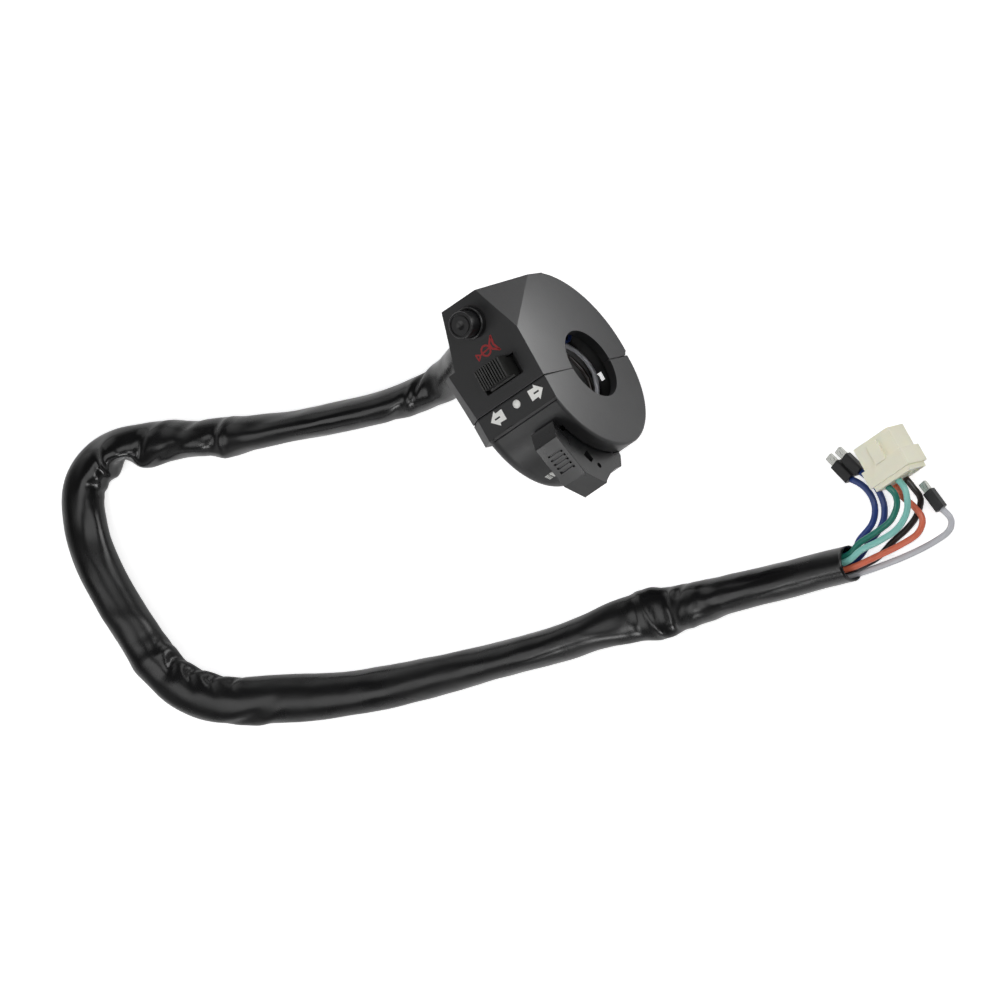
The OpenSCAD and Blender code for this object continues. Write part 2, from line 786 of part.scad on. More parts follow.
// Side view of the part of the paddle outside the case, and its neck
module paddle_outline() {
    difference() {
        polygon([
            [13, 28.7], [14, 29.2], grip_a, grip_b, [35.8, 18.2], [31.8, 5.5], [28.2, 2.4], [24, 2.9],
            [pivot[0] + 1, pivot[1] - hub_r + 0.3], [pivot[0] - 1, pivot[1] + 2], [15.6, 20], [17, 26.3],
            [13, 28]
        ]);
        translate(notch_c) circle(notch_r, $fn = 200);
    }
}

// Curved apron inside the window that hides the gap above the paddle
module apron_outline() {
    difference() {
        translate(pivot) circle(11, $fn = 96);
        translate(pivot) circle(9.8, $fn = 96);
        translate(pivot) rotate(112) square([far, far]);
        translate([pivot[0] - far, pivot[1] - far]) square([far * 2, far + 7]);
        translate([pivot[0] + 4, pivot[1] - far]) square([far, far * 2]);
    }
}

// Paddle with its hub, tail and apron; grooves on the thumb face and a cored near side
module dimmer_paddle() {
    a = paddle_x - paddle_w / 2;
    b = paddle_x + paddle_w / 2;
    color("#2a2a2c") difference() {
        union() {
            slab(a, b) {
                paddle_outline();
                apron_outline();
            }
            rod_x(x0 + end_wall + 0.9, web_x - 0.4, pivot, hub_r);
            slab(a + 3, tail_x1) tail_outline();
        }
        rod_x(x0, web_x, pivot, pin_d / 2 + pin_gap);
        grip_grooves(a, b);
        slab(a - over, a + 1.6) cored_outline();
        at = from_pivot(tail_l - 1.8, tail_angle);
        rod_x(tail_x1 - 4.6, tail_x1 + over, at, ball_r + 0.15);
    }
}

// Arm inside the case that carries the bridge and the detent
module tail_outline() {
    translate(pivot) rotate(tail_angle) translate([0, -tail_w / 2]) square([tail_l, tail_w]);
}

// Shallow recesses in the paddle's near side
module cored_outline() {
    polygon([[24.4, 19.2], [27.4, 18.2], [28.4, 20.2], [25.6, 22.4]]);
    translate([29.8, 16.9]) circle(0.9, $fn = 32);
}

// Five grooves across the thumb face, each with a hooked end
module grip_grooves(a, b) {
    along = unit(grip_b - grip_a);
    tilt = atan2(along[1], along[0]);
    for (i = [0:4]) translate([0, grip_a[0], grip_a[1]]) rotate([tilt, 0, 0]) {
        y = groove_first + i * groove_pitch;
        block([a + 1.4, y, -0.7], [b - 1.9, y + 0.6, over]);
        block([a + 1.4, y, -0.7], [a + 2.1, y + 1.1, over]);
    }
}

// Pivot pin of the paddle, headed on the web's side
module dimmer_pin() {
    color("#b9bcc0") {
        rod_x(x0 + 1.4, web_x + web_t + 1, pivot, pin_d / 2);
        rod_x(web_x + web_t, web_x + web_t + 1, pivot, pin_d / 2 + 0.7);
    }
}

// Contact bridge on the paddle's tail
module dimmer_bridge() {
    at = from_pivot(6.5, tail_angle);
    color("#c08a3e") {
        slab(tail_x1, tail_x1 + 0.5) translate(at) rotate(tail_angle) square([2.4, 4.2], center = true);
        rod_x(tail_x1 + 0.4, dimmer_board_x - rivet_head - 0.1, at, 0.6);
    }
}

// Spring behind the paddle's detent ball
module dimmer_spring() {
    at = from_pivot(tail_l - 1.8, tail_angle);
    high = dimmer_board_x - 0.15 - 2 * ball_r;
    color("#a9adb1") translate([tail_x1 - 4.55, at[0], at[1]]) rotate([0, 90, 0])
        coil(0.85, 0.35, high - tail_x1 + 4.55, 5);
}

// Detent ball of the paddle
module dimmer_ball() {
    at = from_pivot(tail_l - 1.8, tail_angle);
    color("#d4d7da") translate([dimmer_board_x - 0.1 - ball_r, at[0], at[1]]) sphere(ball_r, $fn = 32);
}

// Centres of the dimmer's rivets on their arc
function dimmer_rivets() = [for (i = [-1:1]) from_pivot(6.5, tail_angle + i * 18)];

// Board beside the paddle's tail
module dimmer_board() {
    color("#7a5430") slab(dimmer_board_x, web_x) difference() {
        polygon(paddle_board);
        for (at = dimmer_rivets()) translate(at) circle(rivet_r, $fn = 24);
        for (at = dimmer_screws) translate(at) circle(screw_hole_r, $fn = 24);
    }
}

// Rivets of the dimmer board
module dimmer_contacts() {
    color("#c9a24a") for (at = dimmer_rivets()) {
        rod_x(dimmer_board_x, web_x + rivet_tail, at, rivet_r);
        rod_x(dimmer_board_x - rivet_head, dimmer_board_x, at, rivet_r + 0.15);
    }
}

// Pan-head screw pointing along +Z, with its head below z = 0
module small_screw() {
    difference() {
        union() {
            cylinder(h = screw_l, r = screw_d / 2, $fn = 24);
            translate([0, 0, -screw_head_h]) cylinder(h = screw_head_h, r = screw_head_d / 2, $fn = 32);
        }
        for (turn = [0, 90]) rotate(turn) translate([0, 0, -screw_head_h])
            cube([2.4, 0.6, 1.2], center = true);
    }
}

// All the small screws of the boards
module board_screws() {
    color("#9a9da1") {
        for (at = turn_bosses) translate([at[0], at[1], turn_board_z]) small_screw();
        translate([horn_x, horn_screw_y, horn_base_z]) small_screw();
        for (s = dimmer_screws) translate([dimmer_board_x, s[0], s[1]]) rotate([0, 90, 0]) small_screw();
    }
}

// Wiring

// Rubber grommet in the outlet, with its rim outside
module cable_grommet() {
    color("#19191a") difference() {
        union() {
            rod_x(outlet_x0, outlet_x1, [outlet_y, outlet_z], grommet_r - grommet_gap);
            rod_x(outlet_x1, grommet_x1, [outlet_y, outlet_z], grommet_rim_r);
        }
        rod_x(outlet_x0 - over, far, [outlet_y, outlet_z], sleeve_d / 2 + 0.02);
    }
}

// Lead inside the case: from the sleeve's inner end, at an offset from its axis, to a terminal that it meets
// nearly square to its end face
module lead(offset, route, end, square_to, colour) {
    start = [outlet_x0, outlet_y + offset[0], outlet_z + offset[1]];
    last = unit(square_to + 0.1 * unit(end - route[len(route) - 1]));
    color(colour) tube(concat([start], route, [end]), lead_d / 2, 8, [-1, 0, 0], last);
}

// Foot of a horn post, on side s
function horn_foot(s) = [horn_x + s * post_x, horn_y, horn_base_z - 1.5];

// Foot of rivet i of the slider's board
function turn_foot(i) = [turn_rivets()[i][0], turn_rivets()[i][1], turn_board_z - rivet_tail];

// Tail of rivet i of the dimmer board
function dimmer_foot(i) = [web_x + rivet_tail, dimmer_rivets()[i][0], dimmer_rivets()[i][1]];

module lead_horn_a() {
    route = [
        [-1, -18.5, -6.5], [-3.5, -13, -10.5], [-6.8, -10.8, -12], [-10.3, -14.5, -10], [-11, -19, -5],
        [-10, -22.5, 2], [-7.8, -24, 9]
    ];
    lead([0.6, -4], route, horn_foot(-1), [0, 0, 1], "#27408b");
}

module lead_horn_b() {
    route = [[-1, -22.5, -3.5], [-4, -23, 0], [-3, -23.2, 5], [-0.6, -23.8, 9.5]];
    lead([-2, -3.4], route, horn_foot(1), [0, 0, 1], "#27408b");
}

module lead_left() {
    route = [[-1, -18, 7], [-6.5, -15.5, 10], [-9, -12, 12.4]];
    lead([2.2, 3.4], route, turn_foot(0), [0, 0, 1], "#1f6f66");
}

module lead_right() {
    route = [[0.5, -21, 9], [-2.5, -16, 11.4], [-5.6, -12, 12.4]];
    lead([0, 3.8], route, turn_foot(2), [0, 0, 1], "#7cc4b6");
}

module lead_flasher() {
    route = [[0.5, -16.5, 4.5], [2, -14.5, 9], [-1, -12, 12]];
    lead([3.9, 0.8], route, turn_foot(4), [0, 0, 1], "#c8563a");
}

module lead_high() {
    route = [
        [-2, -14.5, -11.5], [-5, -9, -16.4], [-6.6, 0, -17.2], [-3, 8, -16], [2.5, 14.3, -11],
        [web_x + 3.6, 17.2, -2], [web_x + 3.9, 17, 7], [web_x + 4, 11.5, 12.5]
    ];
    lead([3.6, -2], route, dimmer_foot(2), [-1, 0, 0], "#c9cbd0");
}

module lead_low() {
    route = [
        [0.5, -14, -12.5], [-1.5, -8, -17.6], [-3, 0, -18.8], [0, 8, -17.6], [4.5, 15.4, -12.5],
        [web_x + 4, 19.4, -3], [web_x + 4.2, 18.6, 9], [web_x + 4.4, 11.6, 17.4]
    ];
    lead([2.3, -3.9], route, dimmer_foot(0), [-1, 0, 0], "#2b2523");
}

// Sleeve of the wiring tail
module sleeve() {
    color("#101011") tube(sleeve_route, sleeve_d / 2, 10, [1, 0, 0], end_heading(sleeve_route));
}

// Wire of the tail: from the sleeve's end, at an offset across and up, to its last point
module wire(offset, route, last, colour) {
    along = end_heading(sleeve_route);
    across = [-along[1], along[0], 0];
    start = sleeve_route[len(sleeve_route) - 1] - offset[0] * across + [0, 0, offset[1]];
    color(colour) tube(concat([start], route), wire_d / 2, 8, along, last);
}

// Flat heading at an angle from +X
function flat(a) = [cos(a), sin(a), 0];

module wire_blue_a() {
    wire(blue_a_start, blue_a_route, flat(boot_blue_a_heading), "#2f4796");
}

module wire_blue_b() {
    wire(blue_b_start, blue_b_route, flat(boot_blue_b_heading), "#2f4796");
}

module wire_teal() {
    wire(teal_start, teal_route, [0, -1, 0], "#1f7f70");
}

module wire_aqua() {
    wire(aqua_start, aqua_route, [0, -1, 0], "#7ed0bd");
}

module wire_orange() {
    wire(orange_start, orange_route, [0, -1, 0], "#e06a4c");
}

module wire_black() {
    wire(black_start, black_route, [0, -1, 0], "#3a2f2b");
}

module wire_grey() {
    wire(grey_start, grey_route, flat(boot_grey_heading), "#c9cacd");
}

// Centres of the connector's six cavities, as [x, z]
function cells() = [for (i = [-1:1], z = plug_rows) [plug_c[0] + i * plug_pitch, z]];

// Cavities that a wire enters
function used_cells() = [
    [plug_c[0] + plug_pitch, plug_rows[1]], [plug_c[0], plug_rows[1]],
    [plug_c[0] + plug_pitch, plug_rows[0]], [plug_c[0], plug_rows[0]]
];

// Whether a wire enters cavity c
function is_used(c) = len([for (u = used_cells()) if (u == c) u]) > 0;

// Stepped six-way housing: a broad back with the wire entries and a narrower nose
module connector() {
    color("#e9e4c4") difference() {
        union() {
            block(
                [plug_c[0] - plug_w / 2, plug_c[1], plug_floor],
                [plug_c[0] + plug_w / 2, plug_back - 1.5, plug_floor + plug_h]
            );
            block(
                [plug_c[0] - plug_nose_w / 2 - 0.6, plug_front, plug_floor + 0.8],
                [plug_c[0] + plug_nose_w / 2 + 0.6, plug_back, plug_floor + 0.8 + plug_nose_h]
            );
            block(
                [plug_c[0] - 2, plug_front + 1.5, plug_floor + plug_nose_h + 0.7],
                [plug_c[0] + 2, plug_c[1] + 0.5, plug_floor + plug_nose_h + 2]
            );
        }
        for (c = cells()) {
            translate([c[0], plug_front - over, c[1]]) rotate([-90, 0, 0]) linear_extrude(plug_nose_l)
                square(plug_cell, center = true);
            if (!is_used(c)) translate([c[0], plug_back - 3, c[1]])
                rotate([-90, 0, 0]) linear_extrude(far) square(plug_cell, center = true);
        }
    }
}

// Crimped terminals seen in the front of the used cavities
module connector_terminals() {
    color("#c7c9cc") for (c = used_cells()) translate([c[0], plug_front + 1, c[1]]) difference() {
        translate([-plug_cell / 2, 0, -plug_cell / 2]) cube([plug_cell, plug_nose_l - 2, plug_cell]);
        translate([-plug_cell / 2 + 0.4, -over, -plug_cell / 2 + 0.4])
            cube([plug_cell - 0.8, plug_nose_l - 2, plug_cell - 0.8]);
    }
}

// Boot with rounded corners, its wire end at the origin and its length along +X
module boot() {
    l = boot_size[0];
    w = boot_size[1];
    h = boot_size[2];
    color("#171718") intersection() {
        translate([0, -w / 2, -h / 2]) cube([l, w, h]);
        rotate([0, 90, 0]) cylinder(h = l, r = norm([w, h]) / 2 - 0.3, $fn = 48);
    }
}

// Flat push-on tab that leaves the boot
module tab() {
    size = tab_size;
    color("#c9ccd0") translate([boot_size[0], -size[1] / 2, -size[2] / 2]) difference() {
        cube(size);
        translate([1, 0.4, 0.4]) cube([far, size[1] - 0.8, size[2] - 0.8]);
    }
}

// Place of a boot or tab at the end of its wire
module at_end(route, angle) {
    translate(route[len(route) - 1]) rotate(angle) children();
}

module boot_blue_a() {
    at_end(blue_a_route, boot_blue_a_heading) boot();
}

module boot_blue_b() {
    at_end(blue_b_route, boot_blue_b_heading) boot();
}

module boot_grey() {
    at_end(grey_route, boot_grey_heading) boot();
}

module tab_blue_a() {
    at_end(blue_a_route, boot_blue_a_heading) tab();
}

module tab_blue_b() {
    at_end(blue_b_route, boot_blue_b_heading) tab();
}

module tab_grey() {
    at_end(grey_route, boot_grey_heading) tab();
}

lower_case();
upper_case();
clamp_screws();
clamp_inserts();
horn_collar();
horn_button();
horn_contact();
horn_spring();
horn_base();
horn_terminals();
turn_knob();
turn_carriage();
turn_bridge();
turn_spring();
turn_ball();
turn_board();
turn_contacts();
dimmer_paddle();
dimmer_pin();
dimmer_bridge();
dimmer_spring();
dimmer_ball();
dimmer_board();
dimmer_contacts();
board_screws();
cable_grommet();
lead_horn_a();
lead_horn_b();
lead_left();
lead_right();
lead_flasher();
lead_high();
lead_low();
sleeve();
wire_blue_a();
wire_blue_b();
wire_teal();
wire_aqua();
wire_orange();
wire_black();
wire_grey();
connector();
connector_terminals();
boot_blue_a();
boot_blue_b();
boot_grey();
tab_blue_a();
tab_blue_b();
tab_grey();
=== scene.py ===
"""Looks of a handlebar switch cluster: wiring tail, moulded case, marks and a plain studio.

The file is laid out as a Blender add-on and is run as a script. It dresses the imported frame, whose parts
stay where they are. Lengths in the code are in millimetres and become metres where a piece is finished.
"""

import json
import math

import bmesh
import bpy
from bpy.props import FloatProperty, FloatVectorProperty, PointerProperty
from mathutils import Matrix, Vector, noise


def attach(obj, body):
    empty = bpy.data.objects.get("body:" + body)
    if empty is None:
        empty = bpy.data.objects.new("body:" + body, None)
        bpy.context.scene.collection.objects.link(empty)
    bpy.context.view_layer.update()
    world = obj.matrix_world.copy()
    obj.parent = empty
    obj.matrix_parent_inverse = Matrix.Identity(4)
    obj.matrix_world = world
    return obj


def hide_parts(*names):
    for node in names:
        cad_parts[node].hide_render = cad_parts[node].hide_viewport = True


bl_info = {
    "name": "Handlebar Switch Cluster",
    "version": (1, 0, 0),
    "blender": (4, 5, 0),
    "location": "3D View > Sidebar > Switch Cluster",
    "description": "Dresses the packed switch cluster and sets up its studio",
    "category": "Object",
}

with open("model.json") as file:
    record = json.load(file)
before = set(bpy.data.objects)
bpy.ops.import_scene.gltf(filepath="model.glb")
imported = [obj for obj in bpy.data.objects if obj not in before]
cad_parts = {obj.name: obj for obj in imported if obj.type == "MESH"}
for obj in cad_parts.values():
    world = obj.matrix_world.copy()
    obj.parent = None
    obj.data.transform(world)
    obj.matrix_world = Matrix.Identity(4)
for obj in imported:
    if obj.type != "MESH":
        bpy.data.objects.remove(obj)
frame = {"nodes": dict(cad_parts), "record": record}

MM = 0.001

# Camera: direction towards it, image right and image up, and the point (mm) in the middle of the picture
CAMERA_BACK = Vector((-0.477, 0.158, 0.864))
CAMERA_RIGHT = Vector((-0.726, 0.483, -0.489))
CAMERA_UP = Vector((-0.495, -0.8615, -0.115))
CAMERA_AIM = Vector((23.7, 22.2, 17.8))
CAMERA_DISTANCE = 1200
PICTURE_WIDTH = 295

# Lowest level of the object, where it stands
FLOOR_Z = -22.45

# Places that the part's source has too: the control face, and the drum's middle line with its radius
CONTROL_FACE_Z = 28.4
DRUM_MIDDLE = Vector((0, 0.9, 3.7))
DRUM_RADIUS = 26.06

# Points of the sleeve, the same as in the part's source
OUTLET = (3, -22, 1)
TABLE_Z = -16.6
SLEEVE_ROUTE = [
    OUTLET, (13, -22, 1), (20, -22, -1), (28, -22, -7), (37, -22.5, -13), (47, -24, -16),
    (60, -27, TABLE_Z), (86, -36, TABLE_Z), (110, -45.5, TABLE_Z), (131, -55, TABLE_Z), (149, -61, TABLE_Z),
    (162, -58.5, TABLE_Z), (169, -49, TABLE_Z), (172, -36, TABLE_Z), (172, -16, TABLE_Z), (169, 3, TABLE_Z),
    (158, 17, TABLE_Z), (141, 27, TABLE_Z), (111, 41, TABLE_Z), (60, 58, TABLE_Z), (26, 66.5, TABLE_Z),
    (-8, 77, TABLE_Z), (-50.6, 90.6, TABLE_Z),
]
# Wires of the tail: offset from the sleeve's axis at its end (across, up), and the points on the table
WIRES = {
    "blue_a": ((-2.9, -1.7), [
        (-55, 85.6, -19.4), (-60.5, 83.6, -20.7), (-63.8, 80.6, -20.8), (-65, 77, -20.8),
        (-64.6, 73.4, -20.8), (-63.4, 70.8, -20.6), (-62.2, 68.9, -20)]),
    "blue_b": ((-0.6, -2.4), [
        (-57, 87.9, -20), (-63.4, 85.4, -20.8), (-67, 81.5, -20.8), (-68, 77, -20.8), (-67.7, 73.4, -20.8),
        (-67, 70.8, -20.6), (-66.3, 68.7, -20)]),
    "teal": ((-2.6, 1), [
        (-56, 87, -16.2), (-62.5, 87, -16.6), (-69, 86.6, -16.4), (-73.6, 84.2, -15.8),
        (-75.4, 81.5, -15.1), (-75.4, 79.5, -14.6), (-74.8, 78, -14.5)]),
    "aqua": ((-0.8, 2.9), [
        (-57, 89.4, -13.9), (-64, 90.2, -14), (-71, 90.2, -14), (-76.6, 87.6, -14), (-79.2, 83.4, -14.2),
        (-79.6, 80.5, -14.5), (-79, 78, -14.5)]),
    "orange": ((1.3, 1.4), [
        (-58.5, 93, -17), (-67, 94, -18), (-74, 94, -18.2), (-77.6, 91.2, -18.4), (-77, 86.6, -18.6),
        (-75, 82, -19), (-74.8, 78, -19)]),
    "black": ((1.7, -1), [
        (-57, 93, -19.6), (-63.7, 91.4, -20.8), (-70, 90.6, -20.8), (-75, 89, -20.8), (-79, 85.6, -20.8),
        (-79.4, 81.6, -19.6), (-79, 78, -19)]),
    "grey": ((3.4, -2.6), [
        (-59, 96, -20.7), (-68, 97.6, -20.8), (-76, 98.4, -20.8), (-82, 98.2, -20.8), (-84.6, 96, -20.7),
        (-84.6, 93.6, -20.4), (-84, 91.6, -20)]),
}
# How far each wire is drawn into the sleeve's open end, the step along it and the sides of its tube
WIRE_TUCK = 9
WIRE_STEP = 1.2
WIRE_SIDES = 16

# Half widths of the sleeve along its length: place, outer side of the loop, inner side
SLEEVE_HALF_WIDTHS = [
    (0, 5.6, 5.6), (14, 5.75, 5.75), (24, 6.6, 6.2), (38, 6.3, 6.0), (47, 5.0, 5.2), (56, 4.8, 4.8),
    (70, 4.6, 4.6), (90, 4.5, 4.5), (108, 5.0, 5.2), (118, 5.6, 6.2), (128, 5.4, 5.2), (138, 6.4, 5.8),
    (146, 6.6, 6.8), (154, 6.8, 4.4), (162, 6.9, 6.2), (172, 7.0, 6.8), (184, 6.9, 7.0), (198, 6.6, 6.8),
    (216, 6.8, 6.9), (232, 7.3, 7.2), (246, 7.6, 7.0), (258, 7.6, 7.0), (272, 7.2, 7.0), (306, 6.4, 6.4),
    (335, 5.7, 5.7), (359, 5.3, 5.3), (382, 5.7, 5.7), (398, 7.0, 6.8), (406, 8.2, 7.8), (410, 7.9, 7.2),
    (416, 6.9, 6.5), (424, 6.6, 6.2), (432, 5.9, 5.8), (445, 5.5, 5.5), (474, 5.4, 5.4),
]
# Step along the sleeve, sides of its tube, and rings of its inside that are seen at the open end
SLEEVE_STEP = 1.1
SLEEVE_SIDES = 56
SLEEVE_REACH = 6
# Its half height goes down as its half width goes up: their sum, and the least and greatest half height
SLEEVE_SPREAD = 11.5
SLEEVE_LOWEST = 4.3
SLEEVE_TALLEST = 6.4
# Where it starts to come down to the floor, how far on it lies there, and the gap under it
LANDING = 40
LANDING_LENGTH = 20
FLOOR_GAP = 0.15
# It is smooth for the first stretch and at its end: the length of the first stretch and of the two changes
SMOOTH_START = 20
START_CHANGE = 12
END_CHANGE = 10
# Random swell of its wall: how fast it changes along it and round it, the depths of the broad and the fine
# part, and how many times faster the fine part changes
SWELL_ALONG = 0.045
SWELL_ROUND = 0.7
BROAD_SWELL = 0.5
FINE_SWELL = 0.12
FINE_RATE = 3.1
# Share of a crease's depth that is left where it faces up or down
UPRIGHT_DENT = 0.7
# Mean radius that turns degrees round the sleeve into millimetres
CREASE_RADIUS = 6.2
# Creases of the sleeve: place along it, angle round it in degrees (0 outer side, 90 top), half length,
# half width, slant in degrees and depth; a negative depth is a ridge
SLEEVE_CREASES = [
    (46, 60, 9, 1.6, 52, 1.3), (51, 110, 8, 1.5, 60, -0.8), (56, 130, 7, 1.6, 50, 0.9),
    (35, 80, 8, 2.2, 12, 0.6), (104, 60, 10, 2.4, 18, 0.5), (117, 95, 8, 1.5, 75, -0.9),
    (121, 110, 8, 1.8, 70, 0.9), (129, 40, 6, 1.8, 60, 0.7), (136, 120, 9, 1.8, 30, 0.9),
    (143, 80, 9, 1.6, 48, -0.7), (147, 110, 8, 1.6, 50, 1.1), (152, 150, 6, 1.8, 80, 1.6),
    (156, 185, 6, 2.2, 85, 2.4), (158, 120, 7, 1.5, 70, -0.8), (163, 150, 7, 1.8, 65, 1.2),
    (170, 165, 5, 1.5, 75, 0.9), (168, 60, 12, 2.4, 15, 0.5), (190, 120, 14, 3.0, 8, 0.4),
    (214, 95, 10, 2.6, 60, -0.4), (222, 130, 7, 2.2, 75, 0.5), (229, 95, 10, 2.4, 80, -0.8),
    (235, 90, 8, 2.6, 78, 0.5), (262, 30, 12, 2.0, 25, 0.7), (268, 15, 10, 1.8, 40, -0.5),
    (300, 100, 25, 3.0, 3, 0.3), (350, 90, 30, 3.0, 2, 0.25), (406, 80, 11, 1.3, 114, -1.0),
    (411, 110, 8, 3.4, 90, 1.5), (415, 95, 9, 1.7, 66, 0.9), (420, 50, 8, 1.6, 66, -0.4),
]
# Folds gathered on the inner side of the two tight bends: middle, half length, pitch and depth of each
# group, the angle round the sleeve that they face, and how far they wander as they go round
GATHERS = ((244, 17, 8.2, 1.9), (161, 12, 7.0, 0.9))
GATHERS_FACING = 152
GATHERS_WANDER = 0.7

# Printed marks: name, place along the strip and direction of each arrow, and their place across it
ARROWS = (("mark_arrow_near", -10.75, -1), ("mark_arrow_far", 4.75, 1))
ARROW_Y = 3.1
# The dot: its place, radius and flatness
DOT_PLACE = (-3.05, 2.75, 28.39)
DOT_RADIUS = 1.3
DOT_FLATNESS = 0.4
# The horn mark: its place, the direction of its pipe and the radius of its coil
HORN_PLACE = (-3.4, -15.7)
HORN_DIRECTION = (1, 0.12, 0)
COIL_RADIUS = 1.85
# The lamp mark: its place along the drum and the direction in which it faces
LAMP_X = 4.7
LAMP_FACING = Vector((0, 23.1, 12.2))

# How an edge is found and rounded: gap that is welded, angle up to which faces count as one flat, steps of
# the rounding, least angle of an edge, and of one on the lower case, whose facet is shallow
WELD_GAP = 0.002
FLAT_ANGLE = 0.6
EDGE_STEPS = 3
EDGE_ANGLE = 32
FACET_ANGLE = 14
# How much of its shading a large face keeps beside small ones
AREA_WEIGHT = 80

# The floor's half length, the light that the camera sees it give, and the share of it that gloss mirrors
FLOOR_REACH = 1500
FLOOR_LIFT = 0.7
MIRRORED_SHARE = 0.5
# Heights, as a share of straight up, between which the surroundings go from the horizon's level to the
# overhead one
HORIZON_ENDS = 0.05
OVERHEAD_STARTS = 0.5


def linear(code):
    """A colour written as sRGB hex, as the linear values that Blender mixes with."""
    parts = [int(code[i:i + 2], 16) / 255 for i in (1, 3, 5)]
    return tuple(c / 12.92 if c <= 0.04045 else ((c + 0.055) / 1.055) ** 2.4 for c in parts)


def rgba(colour):
    """A colour with full opacity."""
    return (*colour[:3], 1)


def colour_property(name, description, code):
    """A colour that a user may change."""
    return FloatVectorProperty(
        name=name, description=description, subtype="COLOR", size=3, min=0, max=1, default=linear(code))


def length_property(name, description, millimetres):
    """A length that a user may change."""
    return FloatProperty(
        name=name, description=description, unit="LENGTH", subtype="DISTANCE", min=0,
        default=millimetres * MM)


def power_property(name, description, watts):
    """A light's power that a user may change."""
    return FloatProperty(name=name, description=description, unit="POWER", min=0, default=watts)


class TailSettings(bpy.types.PropertyGroup):
    """Sizes and colours of the wiring tail."""

    sleeve_diameter: length_property("Sleeve diameter", "Outer diameter of the sleeve, where round", 11.5)
    sleeve_wall: length_property("Sleeve wall", "Thickness of the sleeve's wall, seen at its end", 0.6)
    wire_diameter: length_property("Wire diameter", "Outer diameter of each wire", 2)
    crease_depth: FloatProperty(
        name="Crease depth", description="How deep the sleeve's creases are", default=1, min=0, max=1.2,
        subtype="FACTOR")
    sleeve: colour_property("Sleeve", "Colour of the sleeve", "#070708")
    blue: colour_property("Blue", "Colour of the two blue wires", "#30498f")
    teal: colour_property("Teal", "Colour of the dark teal wire", "#2a8474")
    aqua: colour_property("Light teal", "Colour of the light teal wire", "#90d8ce")
    orange: colour_property("Orange", "Colour of the orange wire", "#ee7a5c")
    black: colour_property("Black", "Colour of the black wire", "#2c2320")
    grey: colour_property("Light grey", "Colour of the light grey wire", "#d3d4da")


class CaseSettings(bpy.types.PropertyGroup):
    """Sizes and colours of the case and its controls."""

    case_edge: length_property("Case edge", "Width of the rounding along the case's edges", 0.22)
    control_edge: length_property("Control edge", "Width of the rounding along the controls' edges", 0.18)
    small_edge: length_property("Small edge", "Width of the rounding along the edges of small pieces", 0.08)
    mark_thickness: length_property("Mark thickness", "How far the printed marks stand out", 0.06)
    case: colour_property("Case", "Colour of the moulded case", "#1c1c1d")
    button: colour_property("Button", "Colour of the horn button and the paddle", "#121213")
    knob: colour_property("Knob", "Colour of the slider knob", "#242423")
    white_print: colour_property("White print", "Colour of the arrows and the dot", "#fafaf6")
    red_print: colour_property("Red print", "Colour of the horn mark", "#9c1c20")
    natural: colour_property("Natural nylon", "Colour of the connector", "#f5f1dc")


class StudioSettings(bpy.types.PropertyGroup):
    """Light and background."""

    back_power: power_property("Back light", "Power of the large soft light behind the case", 0.6)
    side_power: power_property("Side light", "Power of the large soft light on the camera's side", 1.6)
    top_power: power_property("Top lights", "Power of each of the two large soft lights overhead", 0.62)
    front_power: power_property("Front lights", "Level of the two small lights on the thumb's side", 0.5)
    card_power: power_property("Card", "Power of the pale card low beside the end face", 0.036)
    overhead: FloatProperty(
        name="Overhead", description="Strength of the surroundings overhead", default=0.06, min=0, max=1)
    horizon: FloatProperty(
        name="Horizon", description="Strength of the surroundings at the horizon", default=0.5, min=0,
        max=2)
    floor: colour_property("Floor", "Colour of the floor", "#f4f4f4")


def node(tree, kind, sockets=None, **settings):
    """Adds a node with its settings. A socket's value is a constant or another node's output to link."""
    made = tree.nodes.new(kind)
    for key, value in settings.items():
        setattr(made, key, value)
    for key, value in (sockets or {}).items():
        if isinstance(value, bpy.types.NodeSocket):
            tree.links.new(value, made.inputs[key])
        else:
            made.inputs[key].default_value = value
    return made


def start_material(name):
    """An empty node material, its tree and the piece's own coordinates, in metres."""
    material = bpy.data.materials.new(name)
    material.use_nodes = True
    material.node_tree.nodes.clear()
    place = node(material.node_tree, "ShaderNodeTexCoord").outputs["Object"]
    return material, material.node_tree, place


def speckle(tree, place, size, detail):
    """Noise from 0 to 1 with spots of the given size in mm."""
    sockets = {"Vector": place, "Scale": 1 / (size * MM), "Detail": detail}
    return node(tree, "ShaderNodeTexNoise", sockets).outputs[0]


def mixed(tree, share, first, second):
    """The first colour where the share is 0 and the second where it is 1."""
    sockets = {0: share, 6: rgba(first), 7: rgba(second)}
    return node(tree, "ShaderNodeMix", sockets, data_type="RGBA").outputs[2]


def spread(tree, value, source, target, **settings):
    """Draws out a value's range, from source to target."""
    low, high = target
    sockets = {"Value": value, "From Min": source[0], "From Max": source[1], "To Min": low, "To Max": high}
    return node(tree, "ShaderNodeMapRange", sockets, **settings).outputs[0]


def relief(tree, height, strength, depth, **under):
    """A bump of the given depth in mm."""
    sockets = {"Height": height, "Strength": strength, "Distance": depth * MM, **under}
    return node(tree, "ShaderNodeBump", sockets).outputs[0]


def surfaced(material, sockets):
    """Ends a material with its shader."""
    shader = node(material.node_tree, "ShaderNodeBsdfPrincipled", sockets).outputs[0]
    node(material.node_tree, "ShaderNodeOutputMaterial", {"Surface": shader})
    return material


